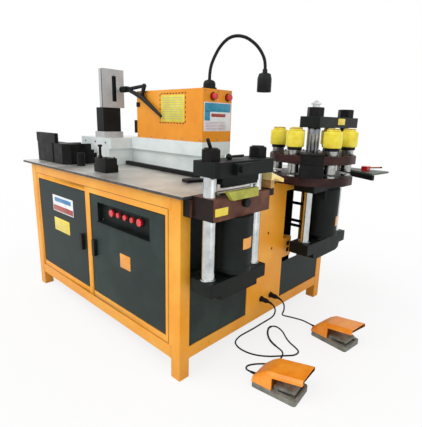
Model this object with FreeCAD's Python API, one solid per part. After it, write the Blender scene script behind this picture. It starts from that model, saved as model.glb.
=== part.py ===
import FreeCAD, Part
import math
import os

from FreeCAD import Vector

os.makedirs("parts", exist_ok=True)

# Busbar processing machine: a welded cabinet with a steel table that carries three hydraulic
# stations, one that bends, one that shears and one that punches from a turret of six tools.
# Millimetres. The origin is on the floor, midway between the four legs. +X points to the side
# that carries the shear and the turret, -Y to the side with the doors, +Z up.

# General clearances and finishing sizes
running_fit = 0.08
seat_gap = 0.3
door_gap = 4.0
overrun = 1.0
edge_round = 3.0
weld_round = 4.0
sheet = 3.0
turn_deg = 360.0
parallel_share = 0.999

# Cabinet frame of square tube
cabinet_length = 1500.0
cabinet_depth = 1280.0
frame_height = 855.0
tube = 60.0
leg_clear = 96.0
middle_post_width = 50.0
middle_post_shift = -14.0
fascia_stile = 38.0
fascia_sill = 38.0
fascia_lip = 29.0
fascia_depth = 30.0
fascia_setback = 2.0
rear_post_set = 160.0
anchor_hole_r = 6.5
anchor_hole_depth = 40.0

# Steel table
table_thickness = 13.0
table_over_left = 75.0
table_over_right = 35.0
table_over_front = 22.0
table_over_rear = 15.0
notch_gap = 9.0

# Yellow column plate in the middle of the right side
column_near = -172.0
column_far = 143.0
column_sheet = 6.0
column_return = 42.0
column_hole_r = 8.0
column_hole_places = ((-6.0, 423.0), (32.0, 328.0))
switch_box_width = 84.0
switch_box_depth = 40.0
switch_box_height = 114.0
switch_box_rise = 246.0
switch_slot_width = 30.0
switch_slot_height = 26.0
switch_slot_depth = 8.0

# Cover sheets
cover_setback = 4.0
shear_cover_height = 334.0
punch_cover_height = 216.0
bay_panel_inset = 64.0
rear_cover_set = 250.0

# Doors, latches and their pins
door_depth = 22.0
door_pin_r = 4.0
door_pin_inset = 6.0
door_pin_reach = 14.0
latch_width = 26.0
latch_height = 92.0
latch_thickness = 20.0
latch_inset = 40.0
latch_rise = 273.0
latch_spindle_r = 7.0
latch_cam_length = 18.0
latch_cam_thickness = 4.0

# Control recess in the right door
recess_left = 89.0
recess_length = 453.0
recess_drop = 37.0
recess_height = 107.0
recess_depth = 26.0
recess_wall = 3.0
recess_lip = 9.0
recess_lip_thickness = 2.0
button_rise = 64.0
button_first = 116.0
button_pitch = 60.0
button_large_r = 19.0
button_small_r = 14.0
button_reach = 14.0
button_bezel = 5.0
button_travel = 4.0
button_stem_share = 0.6

# Bending station: housing
housing_right = 424.0
housing_front = -200.0
housing_back = 30.0
housing_left = -590.0
housing_height = 177.0
band_height = 103.0
housing_recess = 20.0
head_right = -223.0
head_front = -355.0
head_height = 167.0
head_bolt_r = 7.0
head_bolt_depth = 12.0
head_bolt_pitch = 124.0
head_bolt_drop = 28.0

# Bending station: ram and dies
ram_middle = -468.0
ram_width = 80.0
ram_low_gap = 4.0
ram_height = 56.0
ram_nose = -350.0
ram_tail = -90.0
ram_nose_length = 46.0
ram_nose_tip_r = 6.0
die_front = -570.0
die_back = -462.0
die_width = 152.0
die_height = 127.0
die_notch_width = 84.0
die_notch_depth = 52.0
die_corner = 40.0
tie_thickness = 24.0
tie_steps = ((-392.0, 127.0), (-373.0, 88.0), (-355.0, 66.0))
side_block_width = 248.0
side_block_depth = 96.0
side_block_corner = 24.0
tall_plate_left = -800.0
tall_plate_width = 278.0
tall_plate_thickness = 24.0
tall_plate_height = 187.0
die_key_height = 18.0
die_key_width = 46.0
post_x = -320.0
post_y = -505.0
post_r = 24.0
post_height = 76.0
post_cap_height = 3.0
post_cap_r = 21.0

# Bending station: roller, guide strip
roller_block_left = -62.0
roller_block_width = 120.0
roller_block_front = -562.0
roller_block_depth = 80.0
roller_block_height = 77.0
roller_step_height = 40.0
roller_step = 4.0
roller_from_left = 32.0
roller_from_front = 24.0
roller_r = 7.0
roller_flange_r = 12.0
roller_height = 70.0
roller_flange = 7.0
roller_pin_r = 4.0
strip_start = (-236.0, -226.0)
strip_end = (470.0, -268.0)
strip_width = 26.0
strip_height = 24.0
rest_block_middle = (540.0, -369.0)
rest_block_size = (64.0, 96.0, 14.0)
rest_block_deg = -16.0

# Stroke gauge on the bending head
gauge_x = -321.0
gauge_y = -337.0
gauge_flange_height = 38.0
gauge_flange_over = 12.0
gauge_block_length = 85.0
gauge_block_depth = 126.0
gauge_block_height = 149.0
gauge_plate_thickness = 38.0
gauge_plate_width = 156.0
gauge_plate_height = 232.0
gauge_slot_width = 22.0
gauge_slot_low = 45.0
gauge_slot_high = 182.0
gauge_slot_depth = 6.0
gauge_slot_offset = 84.0

# Lever of the stroke gauge
lever_y = -219.0
lever_root_x = -226.0
lever_rise = 299.0
lever_stub_r = 19.0
lever_stub_bore = 9.0
lever_boss_r = 20.0
lever_boss_width = 22.0
lever_arm_shift = (176.0, 13.0)
lever_link_shift = (150.0, -50.0)
lever_tip_shift = (329.0, -158.0)
lever_arm_r = 11.0
lever_link_r = 12.0
lever_handle_thick_r = 15.0
lever_handle_thin_r = 8.0
taper_share = 0.9

# Control box over the housing
box_left = -157.0
box_height = 276.0
box_round = 5.0
box_button_y = (-125.0, -9.0)
box_button_rise = 238.0
box_button_r = 17.0
box_button_ring_r = 21.0
box_button_ring = 5.0
box_button_reach = 20.0
box_button_travel = 5.0
plug_width = 34.0
plug_length = 26.0
plug_height = 78.0
plug_low = 26.0
plug_from_front = 3.0
clip_width = 36.0
clip_height = 27.0
clip_thickness = 3.0
clip_drop = 92.0

# Lamp on the control box
lamp_x = 383.0
lamp_y = -112.0
lamp_flange_r = 40.0
lamp_flange = 8.0
lamp_dome_r = 33.0
lamp_dome_height = 40.0
lamp_dome_top_r = 12.0
dome_shares = (0.5, 0.82, 0.85)
neck_r = 9.0
neck_heading_deg = 43.5
neck_route_shares = ((0.0, 0.0), (0.0, 0.24), (0.07, 0.52), (0.19, 0.82), (0.37, 1.03),
                     (0.61, 1.03), (0.82, 0.85), (0.945, 0.63), (1.0, 0.43), (1.0, 0.28))
neck_reach = 292.0
neck_rise = 212.0
neck_arc_share = 0.45
lampshade_r = 38.0
lampshade_top_r = 13.0
lampshade_height = 99.0
lampshade_shoulder_share = 0.32
lampshade_wall = 4.0
lampshade_top_share = 0.82
lampshade_crown_share = 0.07
lampshade_neck = 16.0

# Press stations: what the shear and the punch share
station_reach = 100.0
yoke_reach = 40.0
mount_width = 55.0
mount_over = 15.0
mount_height = 74.0
mount_drop = 2.0
yoke_chamfer = 14.0
yoke_round = 3.0

# Shear station
shear_near = -574.0
shear_far = -278.0
shear_margin = 36.0
shear_plate_width = 115.0
shear_plate_height = 90.0
shear_head_width = 132.0
shear_head_rise = 82.0
shear_head_height = 60.0
shear_rod_r = 28.0
shear_nut_flats = 70.0
shear_nut_height = 44.0
nut_turn_deg = 15.0
shear_foot_drop = 411.0
shear_foot_height = 60.0
shear_boss_height = 24.0
shear_boss_length = 242.0
shear_cylinder_r = 88.0
shear_cylinder_gap = 13.0
shear_ram_r = 30.0
shear_ram_inside = 70.0
cylinder_band = 5.0
cylinder_band_height = 26.0
rod_collar_r = 34.0
rod_collar_height = 7.0
blade_length = 220.0
blade_thickness = 18.0
lower_blade_height = 12.0
blade_overlap_gap = 22.0
blade_holder_width = 52.0
blade_holder_end = 12.0
upper_blade_height = 14.0
guard_length = 196.0
guard_near = -552.0
guard_width = 20.0
guard_height = 38.0
guard_drop = 11.0
guard_slant = 34.0
rest_post_depth = 28.0
rest_post_drop = 28.0
rest_post_rise = 44.0
rest_post_step = 4.0
rest_width = 55.0
rest_length = 100.0
rest_thickness = 18.0
rest_high = 76.0
rest_slope_share = 0.36
head_box_near = -520.0
head_box_length = 170.0
head_box_depth = 20.0
head_box_height = 46.0
head_box_knob_r = 13.0
head_box_knob_depth = 12.0
handle_bar_r = 5.0
handle_bar_length = 92.0
handle_post_height = 12.0
handle_knob_r = 12.0
handle_y = -484.0
handle_x = 862.0
short_lever_r = 7.0
short_lever_height = 46.0
short_lever_lean_share = 0.5
knob_y = -425.0
knob_drop = 32.0
knob_r = 19.0
knob_length = 22.0
knob_stem_r = 8.0
knob_stem_seat = 26.0

# Punch station
punch_near = 200.0
punch_far = 554.0
punch_margin = 52.0
punch_plate_width = 120.0
punch_plate_drop = 68.0
punch_plate_height = 52.0
punch_head_width = 112.0
punch_head_rise = 269.0
punch_head_height = 56.0
punch_rod_r = 25.0
punch_sleeve_r = 33.0
punch_shoulder_rise = 37.0
punch_nut_flats = 76.0
punch_nut_height = 46.0
punch_foot_drop = 420.0
punch_foot_height = 62.0
punch_boss_height = 40.0
punch_boss_length = 320.0
punch_cylinder_r = 96.0
punch_cylinder_gap = 15.0
punch_collar_height = 50.0
punch_collar_side = 180.0
punch_ram_r = 34.0
punch_ram_inside = 70.0
top_bolt_r = 18.0
top_bolt_height = 12.0
top_bolt_flats = 50.0
top_bolt_head = 10.0
top_bolt_peak = 12.0

# Turret
tool_count = 6
tool_circle_r = 177.0
upper_plate_r = 225.0
upper_plate_rise = 97.0
upper_plate_height = 40.0
lower_plate_r = 219.0
lower_plate_drop = 10.0
lower_plate_height = 42.0
plate_corner_deg = 12.0
hub_r = 60.0
spine_width = 114.0
spine_inner = 78.0
spine_outer = 216.0
spine_rise = 9.0
spine_deg = -60.0
anvil_r = 44.0

# Tools of the turret
guide_r = 27.5
guide_drop = 47.0
guide_core_r = 24.0
guide_top_r = 30.0
guide_top_height = 25.0
guide_ring_r = 36.0
guide_ring_height = 14.7
stem_r = 14.0
stem_clear = 0.3
punch_tip_r = 10.0
punch_tip_rise = 52.0
punch_tip_height = 30.0
elastomer_r = 45.0
elastomer_rise = 177.0
elastomer_height = 76.4
elastomer_waist = 2.5
punch_cap_r = 32.0
die_r = 27.0
die_rise = 6.0
die_seat = 12.0
die_hole_r = 10.7
die_crown_share = 0.92
cap_crown_share = 0.85
slug_hole_r = 20.0

# Side table of the punch
side_table_thickness = 10.0
side_table_reach = 30.0
side_table_shape = ((30.0, 520.0), (252.0, 403.0), (271.0, 594.0), (30.0, 594.0))
side_bar_width = 16.0
side_bar_height = 26.0
side_post_near = 524.0
side_post_length = 62.0
side_post_width = 28.0
stop_reach = 172.0
stop_y = 512.0
stop_length = 34.0
stop_width = 46.0
stop_height = 26.0
stop_slot = 8.0
stop_key_depth = 6.0
stop_travel = 45.0
stop_rod_r = 4.0
stop_rod_length = 72.0
stop_rod_share = 0.7
stop_rod_lean_share = 0.12

# Hydraulics in the cabinet
tank_left = -640.0
tank_right = -60.0
tank_front = -420.0
tank_back = 420.0
tank_height = 300.0
pan_sheet = 4.0
motor_x = -380.0
motor_y = -40.0
motor_r = 82.0
motor_height = 210.0
motor_fin_count = 14
motor_fin = 9.0
motor_fin_thickness = 4.0
motor_flange_r = 100.0
motor_flange = 14.0
valve_left = -230.0
valve_width = 120.0
valve_near = -190.0
valve_length = 300.0
valve_height = 86.0
coil_rise_share = 0.6
solenoid_r = 21.0
solenoid_length = 70.0
solenoid_pitch = 92.0
solenoid_first = 50.0
pipe_r = 9.0
pipe_drops = (189.0, 299.0, 330.0)
pipe_bend_r = 45.0
pipe_rise_x = 150.0
pipe_pitch = 34.0
pipe_seat_share = 0.2

# Cable sockets on the yellow column
socket_places = ((-38.0, 205.0), (50.0, 200.0))
socket_flange_r = 17.0
socket_flange = 5.0
socket_r = 13.0
socket_length = 30.0
socket_tail_r = 8.0
socket_tail = 14.0

# Foot switches
switch_length = 215.0
switch_width = 140.0
switch_base_height = 26.0
switch_round = 14.0
hood_wall = 5.0
hood_back_share = 0.46
hood_back_low = 20.0
hood_back_height = 62.0
hood_shoulder = 96.0
hood_seam_height = 112.0
hood_front_height = 138.0
hood_roof_drop = 25.0
hood_over = 23.0
hood_back_lean = 44.0
hood_shoulder_run = 76.0
hood_edge = 12.0
pedal_width = 92.0
pedal_rise = 20.0
pedal_thickness = 12.0
pedal_pin_r = 5.0
pedal_rise_share = 1.3
pedal_crown_share = 0.35
pedal_nose_share = 0.1
pedal_lip_share = 0.6
well_share = 0.5
near_switch_reach = 342.0
near_switch_y = -345.0
near_switch_heading_deg = 7.0
far_switch_reach = 335.0
far_switch_y = 206.0
far_switch_heading_deg = -6.5
switch_gland_r = 8.0
switch_gland = 16.0
gland_height = 15.0

# Cables to the foot switches: outer radius and the routes, chosen by hand, with x out of the cabinet's side
cable_r = 4.0
cable_arc_share = 0.45
near_cable_points = (
    (49.0, -38.0, 205.0), (75.0, -38.0, 203.0), (96.0, -37.0, 184.0), (97.0, -38.0, 154.0),
    (84.0, -44.0, 127.0), (62.0, -64.0, 106.0), (44.0, -91.0, 88.0), (22.0, -123.0, 65.0),
    (-4.0, -152.0, 42.0),
    (-28.0, -184.0, 20.0), (-23.0, -226.0, 7.0), (16.0, -246.0, 5.0), (61.0, -250.0, 5.0),
    (106.0, -241.0, 5.0), (146.0, -220.0, 5.0), (181.0, -191.0, 5.0), (210.0, -157.0, 5.0),
    (238.0, -123.0, 5.0), (266.0, -90.0, 5.0), (268.0, -48.0, 5.0), (230.0, -27.0, 5.0),
    (186.0, -12.0, 5.0), (146.0, 12.0, 7.0), (108.0, 36.0, 20.0), (66.0, 34.0, 34.0),
    (42.0, -2.0, 36.0), (58.0, -42.0, 22.0), (90.0, -68.0, 8.0), (130.0, -86.0, 5.0),
    (172.0, -99.0, 6.0), (210.0, -118.0, 13.0), (234.0, -152.0, 18.0), (240.0, -194.0, 14.0),
    (224.0, -230.0, 8.0), (198.0, -258.0, 5.0), (170.3, -286.7, 5.0), (149.7, -321.0, 5.0),
    (150.0, -340.5, 6.5), (160.6, -356.9, 9.5), (178.3, -365.1, 12.5), (219.4, -360.1, 15.0))
far_cable_points = (
    (49.0, 50.0, 200.0), (75.0, 50.0, 197.0), (96.0, 49.0, 178.0), (98.0, 52.0, 148.0),
    (88.0, 60.0, 121.0), (72.0, 76.0, 97.0), (61.0, 102.0, 74.0), (58.0, 138.0, 54.0), (66.0, 176.0, 36.0),
    (84.0, 212.0, 20.0), (120.0, 238.0, 11.0), (162.0, 236.0, 9.0), (190.0, 226.0, 13.0),
    (212.3, 219.98, 15.0))


# Values worked out from the sizes above
half_length = cabinet_length / 2
half_depth = cabinet_depth / 2
rear_post_inner = half_length - rear_post_set
rear_cover_right = half_length - rear_cover_set
near_switch = (half_length + near_switch_reach, near_switch_y, near_switch_heading_deg)
far_switch = (half_length + far_switch_reach, far_switch_y, far_switch_heading_deg)
near_cable_route = [(half_length + x, y, z) for x, y, z in near_cable_points]
far_cable_route = [(half_length + x, y, z) for x, y, z in far_cable_points]
rail_low = leg_clear
rail_top = leg_clear + tube
upper_rail_low = frame_height - tube
table_top = frame_height + table_thickness
door_low = rail_top + fascia_sill
door_high = upper_rail_low - fascia_lip
door_face = -half_depth + fascia_setback
middle_left = middle_post_shift - middle_post_width / 2
middle_right = middle_post_shift + middle_post_width / 2
shear_middle = (shear_near + shear_far) / 2
station_x = half_length + station_reach
yoke_inner = half_length + yoke_reach
side_table_inner = station_x + side_table_reach
side_table_points = [(station_x + x, y) for x, y in side_table_shape]
stop_x = station_x + stop_reach
latch_middle = door_low + latch_rise
recess_right = recess_left + recess_length
recess_high = door_high - recess_drop
recess_low = recess_high - recess_height
button_height = recess_low + button_rise
switch_box_low = rail_top + switch_box_rise
shear_cover_top = rail_top + shear_cover_height
punch_cover_top = rail_top + punch_cover_height
housing_top = table_top + housing_height
housing_band = table_top + band_height
head_top = table_top + head_height
lever_root_z = head_top + lever_rise
lever_arm_end = (lever_root_x + lever_arm_shift[0], lever_root_z + lever_arm_shift[1])
lever_link_end = (lever_root_x + lever_link_shift[0], lever_root_z + lever_link_shift[1])
lever_tip = (lever_root_x + lever_tip_shift[0], lever_root_z + lever_tip_shift[1])
box_button_z = housing_top + box_button_rise
shear_head_low = table_top + shear_head_rise
upper_plate_low = table_top + upper_plate_rise
elastomer_low = table_top + elastomer_rise
punch_tip_low = table_top + punch_tip_rise
punch_head_low = table_top + punch_head_rise
punch_shoulder_z = table_top + punch_shoulder_rise
shear_foot_low = table_top - shear_foot_drop
knob_z = table_top - knob_drop
guard_low = table_top - guard_drop
punch_plate_low = table_top - punch_plate_drop
punch_foot_low = table_top - punch_foot_drop
lower_plate_low = table_top - lower_plate_drop
pipe_levels = [table_top - drop for drop in pipe_drops]
punch_middle = (punch_near + punch_far) / 2
shear_plate_top = table_top
shear_plate_low = table_top - shear_plate_height
shear_foot_top = shear_foot_low + shear_foot_height
punch_plate_top = punch_plate_low + punch_plate_height
punch_foot_top = punch_foot_low + punch_foot_height
upper_plate_top = upper_plate_low + upper_plate_height
lower_plate_top = lower_plate_low + lower_plate_height
die_top = lower_plate_top + die_rise
elastomer_top = elastomer_low + elastomer_height
cap_low = elastomer_top + seat_gap
cap_top = punch_head_low - seat_gap
shear_plane = station_x + blade_thickness


# Small helpers

def block(xs, ys, zs):
    size = [b - a for a, b in (xs, ys, zs)]
    return Part.makeBox(*size, Vector(xs[0], ys[0], zs[0]))


def span(middle, size):
    return (middle - size / 2, middle + size / 2)


def post(x, y, z0, z1, r):
    return Part.makeCylinder(r, z1 - z0, Vector(x, y, z0))


def bar(start, direction, length, r):
    return Part.makeCylinder(r, length, Vector(*start), Vector(*direction))


def prism(points, z0, height):
    ring = [Vector(x, y, z0) for x, y in points]
    face = Part.Face(Part.makePolygon(ring + ring[:1]))
    return face.extrude(Vector(0, 0, height))


def profile(points, place, direction, depth):
    # a closed outline, each point placed by a function, swept straight along a direction
    ring = [Vector(*place(*p)) for p in points]
    face = Part.Face(Part.makePolygon(ring + ring[:1]))
    return face.extrude(Vector(*direction).multiply(depth))


def revolve(points, x, y):
    # radius and height pairs turned about the vertical line through x, y
    ring = [Vector(x + r, y, z) for r, z in points]
    face = Part.Face(Part.makePolygon(ring + ring[:1]))
    return face.revolve(Vector(x, y, 0), Vector(0, 0, 1), turn_deg)


def hexagon(x, y, z0, height, flats):
    r = flats / math.sqrt(3)
    return prism([(x + r * math.cos(math.radians(60 * k)), y + r * math.sin(math.radians(60 * k)))
                  for k in range(6)], z0, height)


def nut(x, y, z0, height, flats):
    # a hexagon whose upper corners are turned off
    outer = flats / math.sqrt(3)
    flat = flats / 2
    drop = (outer - flat) / 2
    cone = revolve([(0, z0), (outer, z0), (outer, z0 + height - drop), (flat, z0 + height),
                    (0, z0 + height)], x, y)
    return hexagon(x, y, z0, height, flats).common(cone)


def edges_along(shape, direction):
    axis = Vector(*direction)
    picked = []
    for edge in shape.Edges:
        if edge.Curve.TypeId == "Part::GeomLine":
            line = edge.Curve.Direction
            if abs(line.dot(axis)) > parallel_share:
                picked.append(edge)
    return picked


def rounded(shape, radius, direction):
    return shape.makeFillet(radius, edges_along(shape, direction))


def turned(shape, x, y, degrees):
    copy = shape.copy()
    copy.rotate(Vector(x, y, 0), Vector(0, 0, 1), degrees)
    return copy


def save(name, *solids):
    flat = []
    for shape in solids:
        flat.extend(shape.Solids)
    for solid in flat:
        if not solid.isValid():
            print("not valid:", name)
    whole = flat[0] if len(flat) == 1 else Part.makeCompound(flat)
    whole.exportStep(os.path.join("parts", name + ".step"))


def tube_along(route, radius, arc_share, name):
    # straight runs joined by arcs that touch both runs
    points = [Vector(*p) for p in route]
    edges = []
    start = points[0]
    radii = []
    for before, corner, after in zip(points, points[1:], points[2:]):
        into = corner.sub(before)
        out = after.sub(corner)
        turn = into.getAngle(out)
        shorter = min(into.Length, out.Length)
        cut = shorter * arc_share
        radii.append(cut / math.tan(turn / 2))
        into.normalize()
        out.normalize()
        first = corner.sub(into * cut)
        last = corner.add(out * cut)
        bisector = out.sub(into)
        bisector.normalize()
        away = radii[-1] / math.cos(turn / 2) - radii[-1]
        middle = corner.add(bisector * away)
        edges.append(Part.LineSegment(start, first).toShape())
        edges.append(Part.Arc(first, middle, last).toShape())
        start = last
    edges.append(Part.LineSegment(start, points[-1]).toShape())
    path = Part.Wire(edges)
    heading = points[1].sub(points[0])
    ring = Part.Wire(Part.makeCircle(radius, points[0], heading))
    tube_shape = path.makePipeShell([ring], True, False)
    expected = math.pi * radius * radius * path.Length
    print(name, "length", round(path.Length, 1), "least arc", round(min(radii), 1),
          "volume ratio", round(tube_shape.Volume / expected, 5))
    print(name, "arcs", [round(r) for r in radii])
    return tube_shape


# Cabinet

def make_frame():
    solids = []
    for sx in (-1, 1):
        for sy in (-1, 1):
            xs = sorted((sx * half_length, sx * (half_length - tube)))
            ys = sorted((sy * half_depth, sy * (half_depth - tube)))
            leg = rounded(block(xs, ys, (0, frame_height)), weld_round, (0, 0, 1))
            hole = post(sum(xs) / 2, sum(ys) / 2, 0, anchor_hole_depth, anchor_hole_r)
            solids.append(leg.cut(hole))
    inner_x = half_length - tube
    inner_y = half_depth - tube
    for low in (rail_low, upper_rail_low):
        zs = (low, low + tube)
        for sy in (-1, 1):
            ys = sorted((sy * half_depth, sy * inner_y))
            solids.append(block((-inner_x, inner_x), ys, zs))
        for sx in (-1, 1):
            xs = sorted((sx * half_length, sx * inner_x))
            solids.append(block(xs, (-inner_y, inner_y), zs))
    solids += make_fascia(inner_x)
    rear = block((rear_post_inner, rear_post_inner + tube), (inner_y, half_depth),
                 (rail_top, upper_rail_low))
    solids.append(rounded(rear, weld_round, (0, 0, 1)))
    save("frame", *solids)


def make_fascia(inner_x):
    ys = (door_face, -half_depth + fascia_depth)
    height = (rail_top, upper_rail_low)
    stiles = []
    for sx in (-1, 1):
        xs = sorted((sx * inner_x, sx * (inner_x - fascia_stile)))
        stiles.append(block(xs, ys, height))
    middle = block((middle_left, middle_right), ys, height)
    strips = []
    for left, right in ((-inner_x + fascia_stile, middle_left), (middle_right, inner_x - fascia_stile)):
        strips.append(block((left, right), ys, (rail_top, door_low)))
        strips.append(block((left, right), ys, (door_high, upper_rail_low)))
    bores = [post(x, door_pin_y(), door_low - door_pin_reach, door_high + door_pin_reach,
                  door_pin_r + running_fit) for x in (door_pin_x(-1), door_pin_x(1))]
    strips = [strip.cut(bores[0]).cut(bores[1]) for strip in strips]
    return stiles + [middle] + strips


def make_table():
    xs = (-half_length - table_over_left, half_length + table_over_right)
    ys = (-half_depth - table_over_front, half_depth + table_over_rear)
    plate = rounded(block(xs, ys, (frame_height, table_top)), edge_round, (0, 0, 1))
    notch = post(station_x, punch_near, frame_height - overrun, table_top + overrun,
                 lower_plate_r + notch_gap)
    save("table_plate", plate.cut(notch))


def make_side_column():
    outer = half_length
    body = block((outer - column_return, outer), (column_near, column_far), (rail_top, upper_rail_low))
    pocket = block((outer - column_return - overrun, outer - column_sheet),
                   (column_near + column_sheet, column_far - column_sheet),
                   (rail_top - overrun, upper_rail_low + overrun))
    column = body.cut(pocket)
    for y, z in column_hole_places:
        column = column.cut(bar((outer - column_return, y, rail_top + z), (1, 0, 0), column_return + overrun,
                                column_hole_r))
    high = switch_box_low + switch_box_height
    small = block((outer - switch_box_depth, outer), (column_far, column_far + switch_box_width),
                  (switch_box_low, high))
    step = switch_box_height / 3
    for k in (1, 2):
        slot = block((outer - switch_slot_depth, outer + overrun),
                     span(column_far + switch_box_width - switch_slot_width, switch_slot_width),
                     span(switch_box_low + k * step, switch_slot_height))
        small = small.cut(slot)
    save("side_column", column, small)


def make_covers():
    outer = half_length - cover_setback
    skin = (outer - sheet, outer)
    inner_x = half_length - tube
    inner_y = half_depth - tube
    high = upper_rail_low
    lower_shear = block(skin, (-inner_y, column_near), (rail_top, shear_cover_top))
    back = half_length - bay_panel_inset
    upper_shear = block((back - sheet, back), (-inner_y, column_near), (shear_cover_top, high))
    shelf = block((back, outer), (-inner_y, column_near), (shear_cover_top - sheet, shear_cover_top))
    shelf = shelf.cut(lower_shear)
    upper_shear = upper_shear.fuse(block((back - sheet, back), (-inner_y, column_near),
                                         (shear_cover_top - sheet, shear_cover_top)))
    bay = upper_shear.fuse(shelf).removeSplitter()
    lower_punch = block(skin, (column_far, inner_y), (rail_top, punch_cover_top))
    left = block((-outer, -outer + sheet), (-inner_y, inner_y), (rail_top, high))
    rear_y = half_depth - cover_setback
    rear_skin = (rear_y - sheet, rear_y)
    rear = block((-inner_x, rear_cover_right), rear_skin, (rail_top, high))
    strip = block((rear_post_inner + tube, inner_x), rear_skin, (rail_top, high))
    pan = block((-inner_x, inner_x), (-inner_y, inner_y), (rail_low, rail_low + pan_sheet))
    save("side_covers", lower_shear, bay, lower_punch, left, rear, strip, pan)


def door_pin_x(side):
    inner = half_length - tube - fascia_stile
    return side * (inner - door_gap - door_pin_inset)


def door_pin_y():
    return door_face + door_pin_inset


def make_door(name, left, right, pin_x, latch_x, opening):
    zs = (door_low + door_gap, door_high - door_gap)
    ys = (door_face, door_face + door_depth)
    door = rounded(block((left, right), ys, zs), edge_round, (0, 0, 1))
    pocket = block((left + door_pin_inset * 2, right - door_pin_inset * 2),
                   (door_face + sheet, ys[1] + overrun),
                   (zs[0] + door_pin_inset * 2, zs[1] - door_pin_inset * 2))
    door = door.cut(pocket)
    door = door.cut(bar((latch_x, door_face - overrun, latch_middle), (0, 1, 0),
                        door_depth, latch_spindle_r + running_fit))
    if opening:
        door = door.cut(block((recess_left, recess_right), (door_face - overrun, ys[1]),
                              (recess_low, recess_high)))
    reach = door_pin_reach - door_gap
    for z0, z1 in ((zs[0] - reach, zs[0]), (zs[1], zs[1] + reach)):
        door = door.fuse(post(pin_x, door_pin_y(), z0, z1, door_pin_r))
    save(name, door)


def make_latch(name, x):
    low = latch_middle - latch_height / 2
    face = door_face - seat_gap
    handle = block(span(x, latch_width), (face - latch_thickness, face), (low, low + latch_height))
    handle = handle.makeFillet(edge_round, edges_along(handle, (0, 1, 0)))
    spindle = bar((x, face, latch_middle), (0, 1, 0), door_depth + seat_gap, latch_spindle_r)
    cam_y = door_face + door_depth - latch_cam_thickness
    cam = block(span(x, latch_spindle_r * 2), (cam_y, cam_y + latch_cam_thickness),
                (latch_middle, latch_middle + latch_cam_length))
    save(name, handle.fuse(spindle).fuse(cam))


def make_control_panel():
    xs = (recess_left + seat_gap, recess_right - seat_gap)
    zs = (recess_low + seat_gap, recess_high - seat_gap)
    ys = (door_face, door_face + recess_depth + recess_wall)
    tray = block(xs, ys, zs)
    hollow = block((xs[0] + recess_wall, xs[1] - recess_wall),
                   (door_face - overrun, door_face + recess_depth),
                   (zs[0] + recess_wall, zs[1] - recess_wall))
    tray = tray.cut(hollow)
    lip = block(xs, (door_face - recess_lip, door_face), (zs[0], zs[0] + recess_lip_thickness))
    tray = tray.fuse(lip)
    for x, r in button_places():
        tray = tray.cut(bar((x, door_face, button_height), (0, 1, 0), recess_depth * 2,
                            r * button_stem_share + running_fit))
    save("control_panel", tray)


def button_places():
    places = []
    for k in range(5):
        r = button_large_r if k in (0, 4) else button_small_r
        places.append((recess_left + button_first + k * button_pitch, r))
    return places


def make_button(name, x, r):
    face = door_face + recess_depth - button_travel - seat_gap
    cap = bar((x, face - button_reach, button_height), (0, 1, 0), button_reach, r)
    cap = cap.makeFillet(button_bezel / 2,
                         [e for e in cap.Edges if e.BoundBox.YMax < face - button_reach + seat_gap])
    stem = bar((x, face, button_height), (0, 1, 0), button_travel + seat_gap + recess_wall,
               r * button_stem_share)
    save(name, cap.fuse(stem))


# Bending station

def make_housing():
    inset = housing_recess
    upper = block((head_right, housing_right), (housing_front, housing_back), (housing_band, housing_top))
    lower = block((head_right - inset, housing_right - inset),
                  (housing_front + inset, housing_back - inset), (table_top, housing_band))
    head = block((housing_left, head_right), (head_front, housing_back), (housing_band, head_top))
    head_low = block((housing_left, head_right - inset), (head_front, housing_back - inset),
                     (table_top, housing_band))
    upper = rounded(upper, edge_round * 2, (0, 0, 1))
    head = rounded(head, edge_round * 2, (0, 0, 1))
    body = upper.fuse([lower, head, head_low]).removeSplitter()
    middle = (housing_left + head_right) / 2
    bolt_z = head_top - head_bolt_drop
    for k in (-1, 0, 1):
        start = (middle + k * head_bolt_pitch, head_front - overrun, bolt_z)
        body = body.cut(bar(start, (0, 1, 0), head_bolt_depth + overrun, head_bolt_r))
    channel = block(span(ram_middle, ram_width + seat_gap * 2), (head_front - overrun, ram_tail + seat_gap),
                    (table_top, table_top + ram_low_gap + ram_height + seat_gap))
    save("bend_housing", body.cut(channel))


def make_bend_ram():
    low = table_top + ram_low_gap
    zs = (low, low + ram_height)
    shaft = block(span(ram_middle, ram_width), (ram_nose + ram_nose_length, ram_tail), zs)
    half = ram_width / 2
    tip = ram_nose_tip_r
    wedge = prism([(ram_middle - half, ram_nose + ram_nose_length), (ram_middle - tip, ram_nose),
                   (ram_middle + tip, ram_nose), (ram_middle + half, ram_nose + ram_nose_length)],
                  low, ram_height)
    shoe = block(span(ram_middle, ram_width - ram_low_gap), (housing_front, ram_tail),
                 (table_top + seat_gap, low))
    save("bend_ram", shaft.fuse(wedge).fuse(shoe))


def front_chamfer(shape, size):
    # the upright edge at the front on the right cut off
    box = shape.BoundBox
    picked = [e for e in edges_along(shape, (0, 0, 1))
              if e.BoundBox.XMin > box.XMax - overrun and e.BoundBox.YMax < box.YMin + overrun]
    return shape.makeChamfer(size, picked)


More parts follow.
